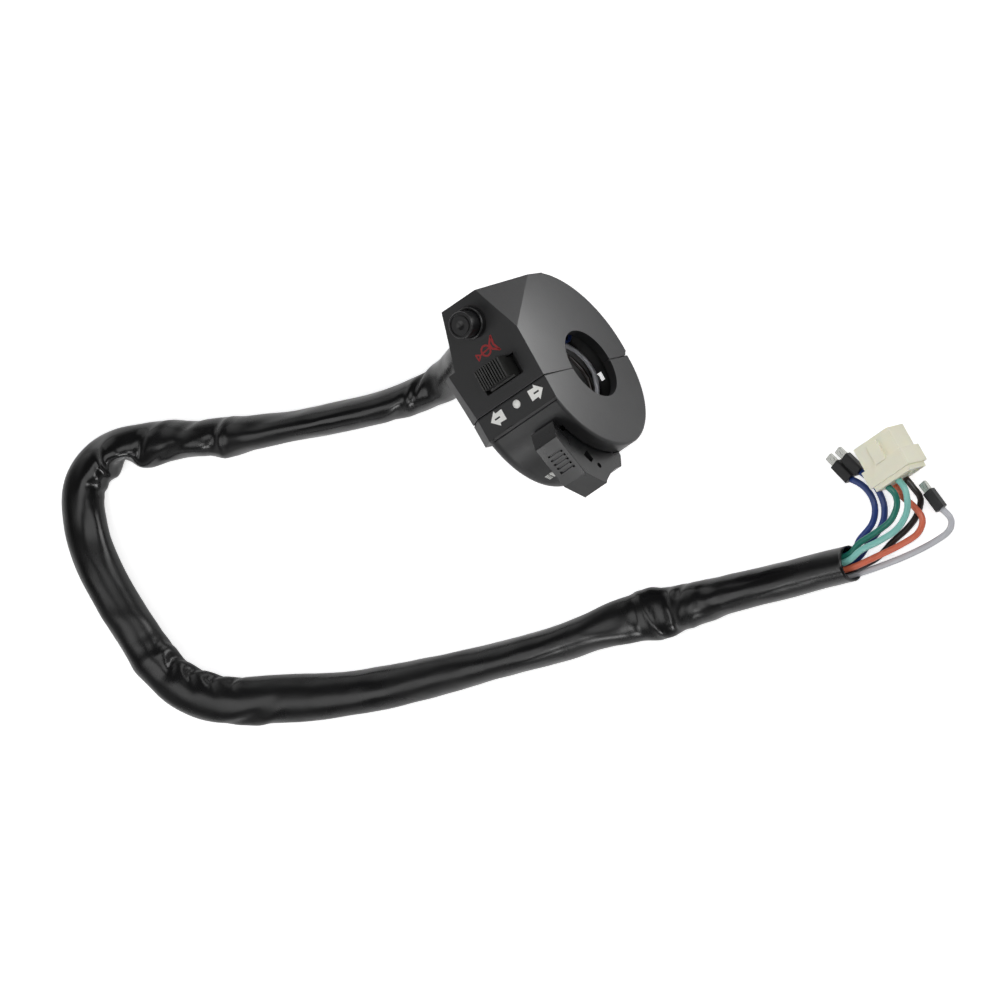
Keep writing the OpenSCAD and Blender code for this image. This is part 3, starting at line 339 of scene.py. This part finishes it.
def moulded(name, colour, roughness, grain, grain_depth, shade=0.25, **shader):
    """Moulded plastic or rubber: a spark-eroded grain of the given size in mm as bump, and broad soft
    patches of handling that lighten the colour and change the gloss a little."""
    material, tree, place = start_material(name)
    patches = speckle(tree, place, 18, 3)
    specks = speckle(tree, place, grain, 2)
    light = tuple(min(1, c * (1 + shade) + 0.004 * shade) for c in colour[:3])
    return surfaced(material, {
        "Base Color": mixed(tree, patches, colour, light),
        "Roughness": spread(tree, patches, (0.3, 0.7), (roughness - 0.05, roughness + 0.06)),
        "Normal": relief(tree, specks, 0.5, grain_depth), "IOR": 1.5, **shader})


def plated(name, colour, roughness, tarnish, scratch):
    """Bare or plated metal: fine drawn scratches of the given spacing in mm, and dull patches of tarnish."""
    material, tree, place = start_material(name)
    patches = speckle(tree, place, 3, 3)
    stretched = node(tree, "ShaderNodeMapping", {"Vector": place, "Scale": (1, 0.08, 1)}).outputs[0]
    lines = speckle(tree, stretched, scratch, 1)
    return surfaced(material, {
        "Base Color": mixed(tree, patches, colour, tarnish),
        "Roughness": spread(tree, lines, (0.3, 0.7), (roughness - 0.08, roughness + 0.1)),
        "Metallic": 1.0})


def sleeve_vinyl(colour):
    """Extruded PVC tubing: deep black, glossy, with long shallow waves from the way it was coiled and dull
    rubbed patches. The waves are 14 mm apart and bend the highlights."""
    material, tree, place = start_material("Extruded PVC sleeving")
    waves = speckle(tree, place, 14, 2)
    rubbed = speckle(tree, place, 25, 5)
    skin = speckle(tree, place, 0.8, 2)
    return surfaced(material, {
        "Base Color": mixed(tree, rubbed, colour, linear("#111112")),
        "Roughness": spread(tree, rubbed, (0.35, 0.7), (0.19, 0.34)),
        "Normal": relief(tree, skin, 0.2, 0.03, Normal=relief(tree, waves, 0.4, 0.45)), "IOR": 1.53})


def wire_vinyl(name, colour):
    """Extruded PVC insulation: smooth and half glossy, with faint bands of deeper colour along the wire and
    a slight unevenness over the strands."""
    material, tree, place = start_material(name)
    deep = tuple(c * 0.8 for c in colour[:3])
    return surfaced(material, {
        "Base Color": mixed(tree, speckle(tree, place, 6, 2), colour, deep), "Roughness": 0.3,
        "Normal": relief(tree, speckle(tree, place, 1.1, 1), 0.3, 0.1), "IOR": 1.53})


def phenolic_board(name):
    """Pressed phenolic paper board: brown, waxy, mottled by its fibres."""
    material, tree, place = start_material(name)
    fibres = speckle(tree, place, 0.7, 5)
    return surfaced(material, {
        "Base Color": mixed(tree, fibres, linear("#5a3a1e"), linear("#8a6236")), "Roughness": 0.5,
        "IOR": 1.55})


def printed_ink(name, colour, roughness):
    """Pad-printed ink: flat and even, with a slightly broken film that shows in its colour at 0.6 mm."""
    material, tree, place = start_material(name)
    film = speckle(tree, place, 0.6, 3)
    worn = tuple(c * 0.8 for c in colour[:3])
    return surfaced(material, {
        "Base Color": mixed(tree, film, colour, worn), "Roughness": roughness,
        "Normal": relief(tree, film, 0.3, 0.03)})


def ramp(value, start, length):
    """0 up to start, 1 from start + length on, and even in between."""
    return min(1, max(0, (value - start) / length))


def catmull(points, step):
    """A smooth curve through the points, as points about one step apart."""
    p = [Vector(q) for q in points]
    p = [p[0] * 2 - p[1], *p, p[-1] * 2 - p[-2]]
    fine = []
    for i in range(1, len(p) - 2):
        a, b, c, d = p[i - 1:i + 3]
        count = max(2, round((c - b).length / step))
        for k in range(count):
            t = k / count
            fine.append(0.5 * (2 * b + (c - a) * t + (2 * a - 5 * b + 4 * c - d) * t * t
                               + (3 * b - a - 3 * c + d) * t ** 3))
    return [*fine, p[-2]]


def distances(points):
    """Distance along a line of points to each of them."""
    run = [0.0]
    for a, b in zip(points, points[1:]):
        run.append(run[-1] + (b - a).length)
    return run


def between(table, s):
    """Values of a table of (place, values...) at place s, eased between its rows."""
    if s <= table[0][0]:
        return table[0][1:]
    for a, b in zip(table, table[1:]):
        if s <= b[0]:
            t = (s - a[0]) / (b[0] - a[0])
            t = t * t * (3 - 2 * t)
            return [x + (y - x) * t for x, y in zip(a[1:], b[1:])]
    return table[-1][1:]


def sweep(points, sides, outline, wall=0, reach=0):
    """A closed tube made by extruding a ring along the points. outline(i, angle) gives the ring's reach to
    the side and up. With a wall, a share of the ring, its far end is open and the inside is seen for the
    given number of rings."""
    tube = bmesh.new()
    ring = bmesh.ops.create_circle(tube, segments=sides, radius=1, cap_ends=False)["verts"]
    angles = [math.atan2(v.co.y, v.co.x) for v in ring]

    def place(verts, i, scale):
        ahead = (points[min(i + 1, len(points) - 1)] - points[max(i - 1, 0)]).normalized()
        side = ahead.cross(Vector((0, 0, 1))).normalized()
        up = side.cross(ahead)
        for v, angle in zip(verts, angles):
            across, above = outline(i, angle)
            v.co = points[i] + scale * (side * across + up * above)

    def carry(edges, order, i, scale):
        made = bmesh.ops.extrude_edge_only(tube, edges=edges)["geom"]
        new = [g for g in made if isinstance(g, bmesh.types.BMVert)]
        links = {}
        for v in new:
            for e in v.link_edges:
                links.setdefault(e.other_vert(v), v)
        verts = [links[v] for v in order]
        place(verts, i, scale)
        new_edges = [g for g in made if isinstance(g, bmesh.types.BMEdge)
                     and g.verts[0] in verts and g.verts[1] in verts]
        return verts, new_edges

    place(ring, 0, 1)
    start_edges = list(tube.edges)
    edges, order = start_edges, ring
    for i in range(1, len(points)):
        order, edges = carry(edges, order, i, 1)
    if wall:
        last = len(points) - 1
        order, edges = carry(edges, order, last, 1 - wall)
        for i in range(last - 1, last - 1 - reach, -1):
            order, edges = carry(edges, order, i, 1 - wall)
    bmesh.ops.edgeloop_fill(tube, edges=edges)
    bmesh.ops.edgeloop_fill(tube, edges=[e for e in start_edges if e.is_valid])
    bmesh.ops.recalc_face_normals(tube, faces=tube.faces)
    return tube


def finish_piece(name, mesh, material, body, smooth=True):
    """Turns a bmesh in millimetres into a piece that rides on a body and takes its finish from a slot."""
    data = bpy.data.meshes.new(name)
    bmesh.ops.scale(mesh, vec=(MM, MM, MM), verts=mesh.verts)
    for face in mesh.faces:
        face.smooth = smooth
    mesh.to_mesh(data)
    mesh.free()
    data.materials.append(material)
    piece = bpy.data.objects.new(name, data)
    bpy.context.scene.collection.objects.link(piece)
    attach(piece, body)
    return piece


def sleeve_line():
    """The sleeve's middle line on the floor, the distance along it and its half widths and heights."""
    line = catmull(SLEEVE_ROUTE, SLEEVE_STEP)
    run = distances(line)
    widths = [between(SLEEVE_HALF_WIDTHS, s) for s in run]
    heights = [
        min(SLEEVE_TALLEST, max(SLEEVE_LOWEST, SLEEVE_SPREAD - (outer + inner) / 2))
        for outer, inner in widths]
    rest = []
    for p, s, high in zip(line, run, heights):
        settle = ramp(s, LANDING, LANDING_LENGTH)
        rest.append(Vector((p.x, p.y, p.z + settle * (FLOOR_Z + FLOOR_GAP + high - p.z))))
    return rest, run, widths, heights


def sleeve_crease(s, degrees):
    """Depth of the creases at a place along and round the sleeve."""
    depth = 0
    for place, angle, long, wide, slant, deep in SLEEVE_CREASES:
        ds = s - place
        if abs(ds) > long * 2:
            continue
        da = ((degrees - angle + 180) % 360 - 180) * math.pi / 180 * CREASE_RADIUS
        turn = math.radians(slant)
        along = ds * math.cos(turn) + da * math.sin(turn)
        across = -ds * math.sin(turn) + da * math.cos(turn)
        depth += deep * math.exp(-(along / long) ** 2 - (across / wide) ** 2)
    return depth


def gathers(s, degrees):
    """Depth of the folds that gather on the inner side of the two tight bends."""
    depth = 0
    for middle, reach, pitch, deep in GATHERS:
        off = (s - middle) / reach
        facing = math.cos(math.radians(degrees - GATHERS_FACING))
        if abs(off) > 1.6 or facing <= 0:
            continue
        wander = GATHERS_WANDER * math.sin(math.radians(degrees) * 3)
        fold = abs(math.sin(math.pi * (s - middle) / pitch + wander))
        depth += deep * math.exp(-off ** 4) * facing ** 4 * (1 - fold) ** 1.3
    return depth


class CLUSTER_OT_camera(bpy.types.Operator):
    """Set the camera to the photograph's viewing angle"""

    bl_idname = "cluster.camera"
    bl_label = "Camera"

    def execute(self, context):
        data = bpy.data.cameras.new("Camera")
        data.type = "ORTHO"
        data.ortho_scale = PICTURE_WIDTH * MM
        data.clip_start, data.clip_end = 0.05, 10
        camera = bpy.data.objects.new("Camera", data)
        turn = Matrix((CAMERA_RIGHT, CAMERA_UP, CAMERA_BACK)).transposed()
        camera.matrix_world = turn.to_4x4()
        camera.location = (CAMERA_AIM + CAMERA_BACK * CAMERA_DISTANCE) * MM
        context.scene.collection.objects.link(camera)
        context.scene.camera = camera
        return {"FINISHED"}


class CLUSTER_OT_sleeve(bpy.types.Operator):
    """Lay the creased vinyl sleeve of the wiring tail"""

    bl_idname = "cluster.sleeve"
    bl_label = "Sleeve"

    def execute(self, context):
        tail = context.scene.switch_tail
        rest, run, widths, heights = sleeve_line()

        def outline(i, angle):
            s, degrees = run[i], math.degrees(angle)
            outer, inner = widths[i]
            calm = ramp(s, SMOOTH_START, START_CHANGE) * ramp(run[-1] - s, 0, END_CHANGE)
            place = Vector((s * SWELL_ALONG, math.cos(angle) * SWELL_ROUND, math.sin(angle) * SWELL_ROUND))
            swell = BROAD_SWELL * noise.noise(place) + FINE_SWELL * noise.noise(place * FINE_RATE)
            creased = tail.crease_depth * (sleeve_crease(s, degrees) + gathers(s, degrees))
            dent = calm * creased - calm * swell
            across = math.cos(angle) * ((outer if math.cos(angle) > 0 else inner) - dent)
            above = math.sin(angle) * (heights[i] - UPRIGHT_DENT * dent)
            return across, max(above, -heights[i])

        wall = tail.sleeve_wall / tail.sleeve_diameter * 2
        mesh = sweep(rest, SLEEVE_SIDES, outline, wall=wall, reach=SLEEVE_REACH)
        piece = finish_piece("sleeve_tube", mesh, sleeve_vinyl(tail.sleeve), "case")
        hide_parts("sleeve")
        return {"FINISHED"}


class CLUSTER_OT_wires(bpy.types.Operator):
    """Run the seven wires from the sleeve's open end to the connector and the boots"""

    bl_idname = "cluster.wires"
    bl_label = "Wires"

    def execute(self, context):
        tail = context.scene.switch_tail
        end, before = Vector(SLEEVE_ROUTE[-1]), Vector(SLEEVE_ROUTE[-2])
        along = (end - before).normalized()
        across = Vector((-along.y, along.x, 0))
        radius = tail.wire_diameter / 2 / MM
        finishes = {
            key: wire_vinyl(f"PVC insulation, {key}", getattr(tail, key))
            for key in ("blue", "teal", "aqua", "orange", "black", "grey")}
        for key, (offset, route) in WIRES.items():
            start = end - across * offset[0] + Vector((0, 0, offset[1]))
            tucked = start - along * WIRE_TUCK
            points = catmull([tucked, start, *route], WIRE_STEP)
            mesh = sweep(points, WIRE_SIDES, lambda i, a: (radius * math.cos(a), radius * math.sin(a)))
            colour = key.split("_")[0]
            piece = finish_piece(f"wire_{key}_insulation", mesh, finishes[colour], "case")
            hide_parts(f"wire_{key}")
        return {"FINISHED"}


def soften(name, width, finish, angle):
    """Gives a CAD node its finish and rounds its sharp edges, without a change to its mesh."""
    piece = frame["nodes"][name]
    piece.data.materials.clear()
    piece.data.materials.append(finish)
    for face in piece.data.polygons:
        face.use_smooth = True
    weld = piece.modifiers.new("Weld", "WELD")
    weld.merge_threshold = WELD_GAP * MM
    if width:
        flat = piece.modifiers.new("Join flat faces", "DECIMATE")
        flat.decimate_type = "DISSOLVE"
        flat.angle_limit = math.radians(FLAT_ANGLE)
        # An absolute width keeps long spikes from growing at fine seams. A clamp would leave no rounding
        bevel = piece.modifiers.new("Round edges", "BEVEL")
        bevel.offset_type = "ABSOLUTE"
        bevel.width = width
        bevel.segments = EDGE_STEPS
        bevel.limit_method = "ANGLE"
        bevel.angle_limit = math.radians(angle)
        bevel.harden_normals = False
        bevel.use_clamp_overlap = False
    shade = piece.modifiers.new("Shade by area", "WEIGHTED_NORMAL")
    shade.keep_sharp = False
    shade.weight = AREA_WEIGHT
    return piece


def finishes(context):
    """The materials of the case, its controls and what is inside, by the record's slots."""
    case, tail = context.scene.switch_case, context.scene.switch_tail
    return {
        # Glass-filled nylon from a spark-eroded mould: a dull even black with a grain of 0.7 mm
        "case_plastic": moulded("Glass-filled nylon, textured", case.case, 0.42, 0.7, 0.03),
        # ABS from a smooth mould: satin, deeper black than the case
        "button_plastic": moulded("ABS, satin moulded", case.button, 0.27, 1.2, 0.01),
        # The knob's ABS is a little paler than the button's, evenly all over
        "knob_plastic": moulded("ABS, satin moulded, knob", case.knob, 0.36, 0.9, 0.02),
        # Unpigmented nylon: cream, waxy and slightly see-through, so light goes a short way in
        "natural_nylon": moulded(
            "Nylon 6, unpigmented", case.natural, 0.38, 2.0, 0.02, shade=0.08,
            **{"Subsurface Weight": 0.35, "Subsurface Radius": (1.0, 0.8, 0.5),
               "Subsurface Scale": 1.5 * MM}),
        "phenolic": phenolic_board("Phenolic paper board, pressed"),
        # Stamped brass: warm yellow with duller brown patches
        "brass": plated("Brass, stamped", linear("#c9a25a"), 0.3, linear("#9b7438"), 0.15),
        # Zinc plated steel: cool grey, softly blurred
        "zinc_steel": plated("Steel, zinc plated", linear("#b4b6ba"), 0.36, linear("#8d9096"), 0.2),
        # Drawn spring wire: bright with lines along it
        "spring_steel": plated("Spring steel, drawn", linear("#c2c4c8"), 0.26, linear("#9a9ca0"), 0.1),
        # Tin plated brass: near white, soft
        "tinned_brass": plated("Brass, tin plated", linear("#dedfdb"), 0.3, linear("#b4b4ad"), 0.15),
        # Moulded rubber: dull charcoal black that sheds little light
        "rubber": moulded("Rubber, moulded", linear("#161616"), 0.62, 0.8, 0.05),
        # Dip-moulded vinyl boots: black with a soft shine
        "boot_vinyl": moulded("PVC, dip moulded", linear("#0a0a0b"), 0.38, 1.5, 0.08),
        "wire_blue": wire_vinyl("PVC insulation, blue lead", tail.blue),
        "wire_teal": wire_vinyl("PVC insulation, teal lead", tail.teal),
        "wire_aqua": wire_vinyl("PVC insulation, light teal lead", tail.aqua),
        "wire_orange": wire_vinyl("PVC insulation, orange lead", tail.orange),
        "wire_black": wire_vinyl("PVC insulation, black lead", tail.black),
        "wire_grey": wire_vinyl("PVC insulation, light grey lead", tail.grey),
        "sleeve_vinyl": sleeve_vinyl(tail.sleeve),
    }


class CLUSTER_OT_case(bpy.types.Operator):
    """Give every CAD part its finish and round its edges"""

    bl_idname = "cluster.case"
    bl_label = "Case and controls"

    def execute(self, context):
        case = context.scene.switch_case
        by_slot = finishes(context)
        widths = {
            "lower_case": case.case_edge, "upper_case": case.case_edge,
            "dimmer_paddle": case.control_edge, "connector": case.control_edge,
            "boot_blue_a": case.control_edge, "boot_blue_b": case.control_edge,
            "boot_grey": case.control_edge, "cable_grommet": case.control_edge}
        bare = ("lead_", "wire_", "sleeve", "horn_spring", "turn_spring", "dimmer_spring")
        for part in frame["record"]["subparts"]:
            name = part["node"]
            width = 0 if name.startswith(bare) else widths.get(name, case.small_edge)
            angle = FACET_ANGLE if name == "lower_case" else EDGE_ANGLE
            piece = soften(name, width, by_slot[part["material_slot"]], angle)
            if name.startswith("lead_"):
                round_off = piece.modifiers.new("Round lead", "SUBSURF")
                round_off.levels = round_off.render_levels = 1
        return {"FINISHED"}


def outline_mesh(points, thickness, border=0):
    """A flat raised mark from its outline. With a border, only a line of that width along it is kept."""
    mark = bmesh.new()
    face = mark.faces.new([mark.verts.new((x, y, 0)) for x, y in points])
    face.normal_update()
    if border:
        bmesh.ops.inset_individual(mark, faces=[face], thickness=border, use_even_offset=True)
        bmesh.ops.delete(mark, geom=[face], context="FACES_ONLY")
    bmesh.ops.recalc_face_normals(mark, faces=mark.faces)
    raised = bmesh.ops.extrude_face_region(mark, geom=list(mark.faces))["geom"]
    bmesh.ops.translate(
        mark, verts=[g for g in raised if isinstance(g, bmesh.types.BMVert)], vec=(0, 0, thickness))
    bmesh.ops.recalc_face_normals(mark, faces=mark.faces)
    return mark


def add_mark(name, shapes, frame_matrix, material, body):
    """Joins flat shapes into one mark and sets it on its face."""
    whole = bmesh.new()
    for shape in shapes:
        data = bpy.data.meshes.new("part")
        shape.to_mesh(data)
        shape.free()
        whole.from_mesh(data)
        bpy.data.meshes.remove(data)
    bmesh.ops.transform(whole, matrix=frame_matrix, verts=whole.verts)
    return finish_piece(name, whole, material, body, smooth=False)


def face_matrix(origin, right, normal):
    """Places a flat mark drawn in X and Y on a face: its origin, its X direction and the face's normal."""
    z = Vector(normal).normalized()
    x = (Vector(right) - z * Vector(right).dot(z)).normalized()
    turn = Matrix((x, z.cross(x), z)).transposed().to_4x4()
    return Matrix.Translation(Vector(origin)) @ turn


def ring_points(x, y, radius, count, start=0, sweep_angle=360):
    """Points on a circle."""
    steps = count if sweep_angle == 360 else count - 1
    return [
        (x + radius * math.cos(math.radians(start + sweep_angle * k / steps)),
         y + radius * math.sin(math.radians(start + sweep_angle * k / steps))) for k in range(count)]


class CLUSTER_OT_marks(bpy.types.Operator):
    """Print the arrows, the dot, the horn mark and the lamp mark"""

    bl_idname = "cluster.marks"
    bl_label = "Printed marks"

    def execute(self, context):
        case = context.scene.switch_case
        thick = case.mark_thickness / MM
        white = printed_ink("Pad-printed ink, white", case.white_print, 0.45)
        red = printed_ink("Pad-printed ink, red", case.red_print, 0.5)
        arrow = [
            (2.75, 0), (0.2, 2.45), (-0.05, 1.55), (-2.5, 1.7), (-2.5, -1.7), (-0.05, -1.55), (0.2, -2.45)]
        dash = [(1.1, 0.26), (-0.9, 0.26), (-0.9, -0.26), (1.1, -0.26)]
        for name, x, way in ARROWS:
            place = face_matrix((x, ARROW_Y, CONTROL_FACE_Z), (way, 0, 0), (0, 0, 1))
            add_mark(name, [outline_mesh(arrow, thick)], place, white, "case")
            lift = Matrix.Translation((0, 0, thick * 0.6))
            add_mark(f"{name}_dash", [outline_mesh(dash, thick * 0.6)], lift @ place,
                     bpy.data.materials["Glass-filled nylon, textured"], "case")
        dome = bmesh.new()
        bmesh.ops.create_uvsphere(dome, u_segments=28, v_segments=14, radius=DOT_RADIUS)
        bmesh.ops.bisect_plane(
            dome, geom=[*dome.verts, *dome.edges, *dome.faces], plane_co=(0, 0, 0), plane_no=(0, 0, -1),
            clear_outer=True)
        bmesh.ops.edgeloop_fill(dome, edges=[e for e in dome.edges if e.is_boundary])
        bmesh.ops.scale(dome, vec=(1, 1, DOT_FLATNESS), verts=dome.verts)
        bmesh.ops.translate(dome, vec=DOT_PLACE, verts=dome.verts)
        finish_piece("mark_dot", dome, white, "case")

        bell = [
            (-3.9, -2.7), (-3.3, -2.75), (-1.3, -0.95), (-1.3, 0.95), (-3.3, 2.75), (-3.9, 2.7), (-3.1, 0)]
        mouth = [(4.5, 1.1), (4.1, 1.15), (3.0, 0.4), (3.0, -0.4), (4.1, -1.15), (4.5, -1.1)]
        pipe = [(3.1, 0.22), (-1.4, 0.22), (-1.4, -0.22), (3.1, -0.22)]
        coil = ring_points(0.5, 0, COIL_RADIUS, 28)
        place = face_matrix((*HORN_PLACE, CONTROL_FACE_Z), HORN_DIRECTION, (0, 0, 1))
        strokes = [
            outline_mesh(bell, thick, 0.62), outline_mesh(mouth, thick, 0.45),
            outline_mesh(pipe, thick * 0.9), outline_mesh(coil, thick * 1.1, 0.58)]
        add_mark("mark_horn", strokes, place, red, "case")

        lamp = [*ring_points(0, 0, 1.25, 14, -90, 180), (-0.5, 1.25), (-0.5, -1.25)]
        rays = [
            outline_mesh(
                [(-0.9, y + 0.16), (-2.3, y + 0.16), (-2.3, y - 0.16), (-0.9, y - 0.16)], thick * 3)
            for y in (-0.95, -0.32, 0.32, 0.95)]
        normal = LAMP_FACING.normalized()
        surface = DRUM_MIDDLE + Vector((LAMP_X, 0, 0)) + normal * DRUM_RADIUS
        place = face_matrix(surface, (-1, 0, 0), normal)
        add_mark("mark_lamp", [outline_mesh(lamp, thick * 3), *rays], place, white, "case")
        return {"FINISHED"}


def calculated(tree, operation, first, second):
    """The result of an operation on two values."""
    return node(tree, "ShaderNodeMath", {0: first, 1: second}, operation=operation).outputs[0]


def seen_directly(tree):
    """Two switches: one is 1 for the camera's own rays, also through glass, the other for mirrored rays."""
    rays = node(tree, "ShaderNodeLightPath").outputs
    seen = calculated(tree, "MAXIMUM", rays["Is Camera Ray"], rays["Is Transmission Ray"])
    return seen, rays["Is Glossy Ray"]


class CLUSTER_OT_stage(bpy.types.Operator):
    """Set up the floor, the soft lights and the white background"""

    bl_idname = "cluster.stage"
    bl_label = "Stage"

    def execute(self, context):
        studio = context.scene.switch_studio
        mesh = bmesh.new()
        bmesh.ops.create_grid(mesh, x_segments=1, y_segments=1, size=FLOOR_REACH * MM)
        bmesh.ops.translate(mesh, vec=(0, 0, FLOOR_Z * MM), verts=mesh.verts)
        data = bpy.data.meshes.new("Floor")
        mesh.to_mesh(data)
        mesh.free()
        floor = bpy.data.objects.new("Floor", data)
        context.scene.collection.objects.link(floor)

        # Seamless paper: matte and pale. The camera sees it whiter than the light makes it, and glossy
        # black plastic mirrors some of that white
        material, tree, _ = start_material("Seamless paper, matte")
        sockets = {"Base Color": rgba(studio.floor), "Roughness": 0.9}
        paper = node(tree, "ShaderNodeBsdfPrincipled", sockets).outputs[0]
        seen, glossy = seen_directly(tree)
        mirrored = calculated(tree, "MULTIPLY", glossy, MIRRORED_SHARE)
        strength = calculated(tree, "MULTIPLY", calculated(tree, "MAXIMUM", seen, mirrored), FLOOR_LIFT)
        lift = node(tree, "ShaderNodeEmission", {"Color": (1, 1, 1, 1), "Strength": strength}).outputs[0]
        mix = node(tree, "ShaderNodeAddShader", {0: paper, 1: lift}).outputs[0]
        node(tree, "ShaderNodeOutputMaterial", {"Surface": mix})
        data.materials.append(material)

        # The surroundings are pale at the floor's level and darker overhead, as in a room with a white table
        world = bpy.data.worlds.new("Studio")
        context.scene.world = world
        world.use_nodes = True
        tree = world.node_tree
        tree.nodes.clear()
        direction = node(tree, "ShaderNodeTexCoord").outputs["Generated"]
        height = node(tree, "ShaderNodeSeparateXYZ", {0: direction}).outputs[2]
        height = node(tree, "ShaderNodeMath", {0: height}, operation="ABSOLUTE").outputs[0]
        room = spread(
            tree, height, (HORIZON_ENDS, OVERHEAD_STARTS), (studio.horizon, studio.overhead),
            interpolation_type="SMOOTHSTEP")
        seen, _ = seen_directly(tree)
        strength = spread(tree, seen, (0, 1), (room, 1))
        sky = node(tree, "ShaderNodeBackground", {"Color": (1, 1, 1, 1), "Strength": strength}).outputs[0]
        node(tree, "ShaderNodeOutputWorld", {"Surface": sky})

        # Name, power and side of each square panel, where it stands and what it is turned to
        lights = (
            ("Back softbox", studio.back_power, 350, (-352, -492, 352), (0, 0, 0)),
            ("Camera side softbox", studio.side_power, 350, (-526, 70, 456), (0, 0, 0)),
            ("Far softbox", studio.top_power * 0.35, 350, (351, -562, 246), (0, 0, 0)),
            ("Overhead softbox", studio.top_power, 350, (14, 0, 700), (0, 0, 0)),
            ("Side softbox", studio.top_power, 350, (458, 35, 528), (0, 0, 0)),
            ("Thumb light", studio.front_power * 0.75, 150, (334, 292, 542), (0, 0, 0)),
            ("Drum light", studio.front_power * 1.2, 150, (338, 514, 334), (0, 0, 0)),
            ("Card", studio.card_power, 40, (-60, -15, -15), (-16, 0, 25)),
        )
        for name, power, side, stand, target in lights:
            data = bpy.data.lights.new(name, "AREA")
            data.shape = "SQUARE"
            data.energy = power
            data.size = side * MM
            light = bpy.data.objects.new(name, data)
            back = (Vector(stand) - Vector(target)).normalized()
            light.matrix_world = back.to_track_quat("Z", "Y").to_matrix().to_4x4()
            light.location = Vector(stand) * MM
            light.visible_camera = False
            context.scene.collection.objects.link(light)
        context.scene.view_settings.view_transform = "Standard"
        return {"FINISHED"}


class CLUSTER_PT_panel(bpy.types.Panel):
    """Lists the operators and the settings"""

    bl_idname = "CLUSTER_PT_panel"
    bl_label = "Switch Cluster"
    bl_space_type = "VIEW_3D"
    bl_region_type = "UI"
    bl_category = "Switch Cluster"

    def draw(self, context):
        for operator in OPERATORS:
            self.layout.operator(operator.bl_idname)
        for group in SETTINGS:
            settings = getattr(context.scene, group)
            box = self.layout.box()
            for key in settings.__annotations__:
                box.prop(settings, key)


SETTINGS = {"switch_tail": TailSettings, "switch_case": CaseSettings, "switch_studio": StudioSettings}
OPERATORS = (
    CLUSTER_OT_camera, CLUSTER_OT_sleeve, CLUSTER_OT_wires, CLUSTER_OT_case, CLUSTER_OT_marks,
    CLUSTER_OT_stage)


def register():
    for group in SETTINGS.values():
        bpy.utils.register_class(group)
    for key, group in SETTINGS.items():
        setattr(bpy.types.Scene, key, PointerProperty(type=group))
    for part in (*OPERATORS, CLUSTER_PT_panel):
        bpy.utils.register_class(part)


def unregister():
    for part in (CLUSTER_PT_panel, *reversed(OPERATORS)):
        bpy.utils.unregister_class(part)
    for key in SETTINGS:
        delattr(bpy.types.Scene, key)
    for group in SETTINGS.values():
        bpy.utils.unregister_class(group)


def main():
    """Dresses the frame."""
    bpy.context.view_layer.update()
    register()
    bpy.ops.cluster.camera()
    bpy.ops.cluster.sleeve()
    bpy.ops.cluster.wires()
    bpy.ops.cluster.case()
    bpy.ops.cluster.marks()
    bpy.ops.cluster.stage()


if __name__ == "__main__":
    main()
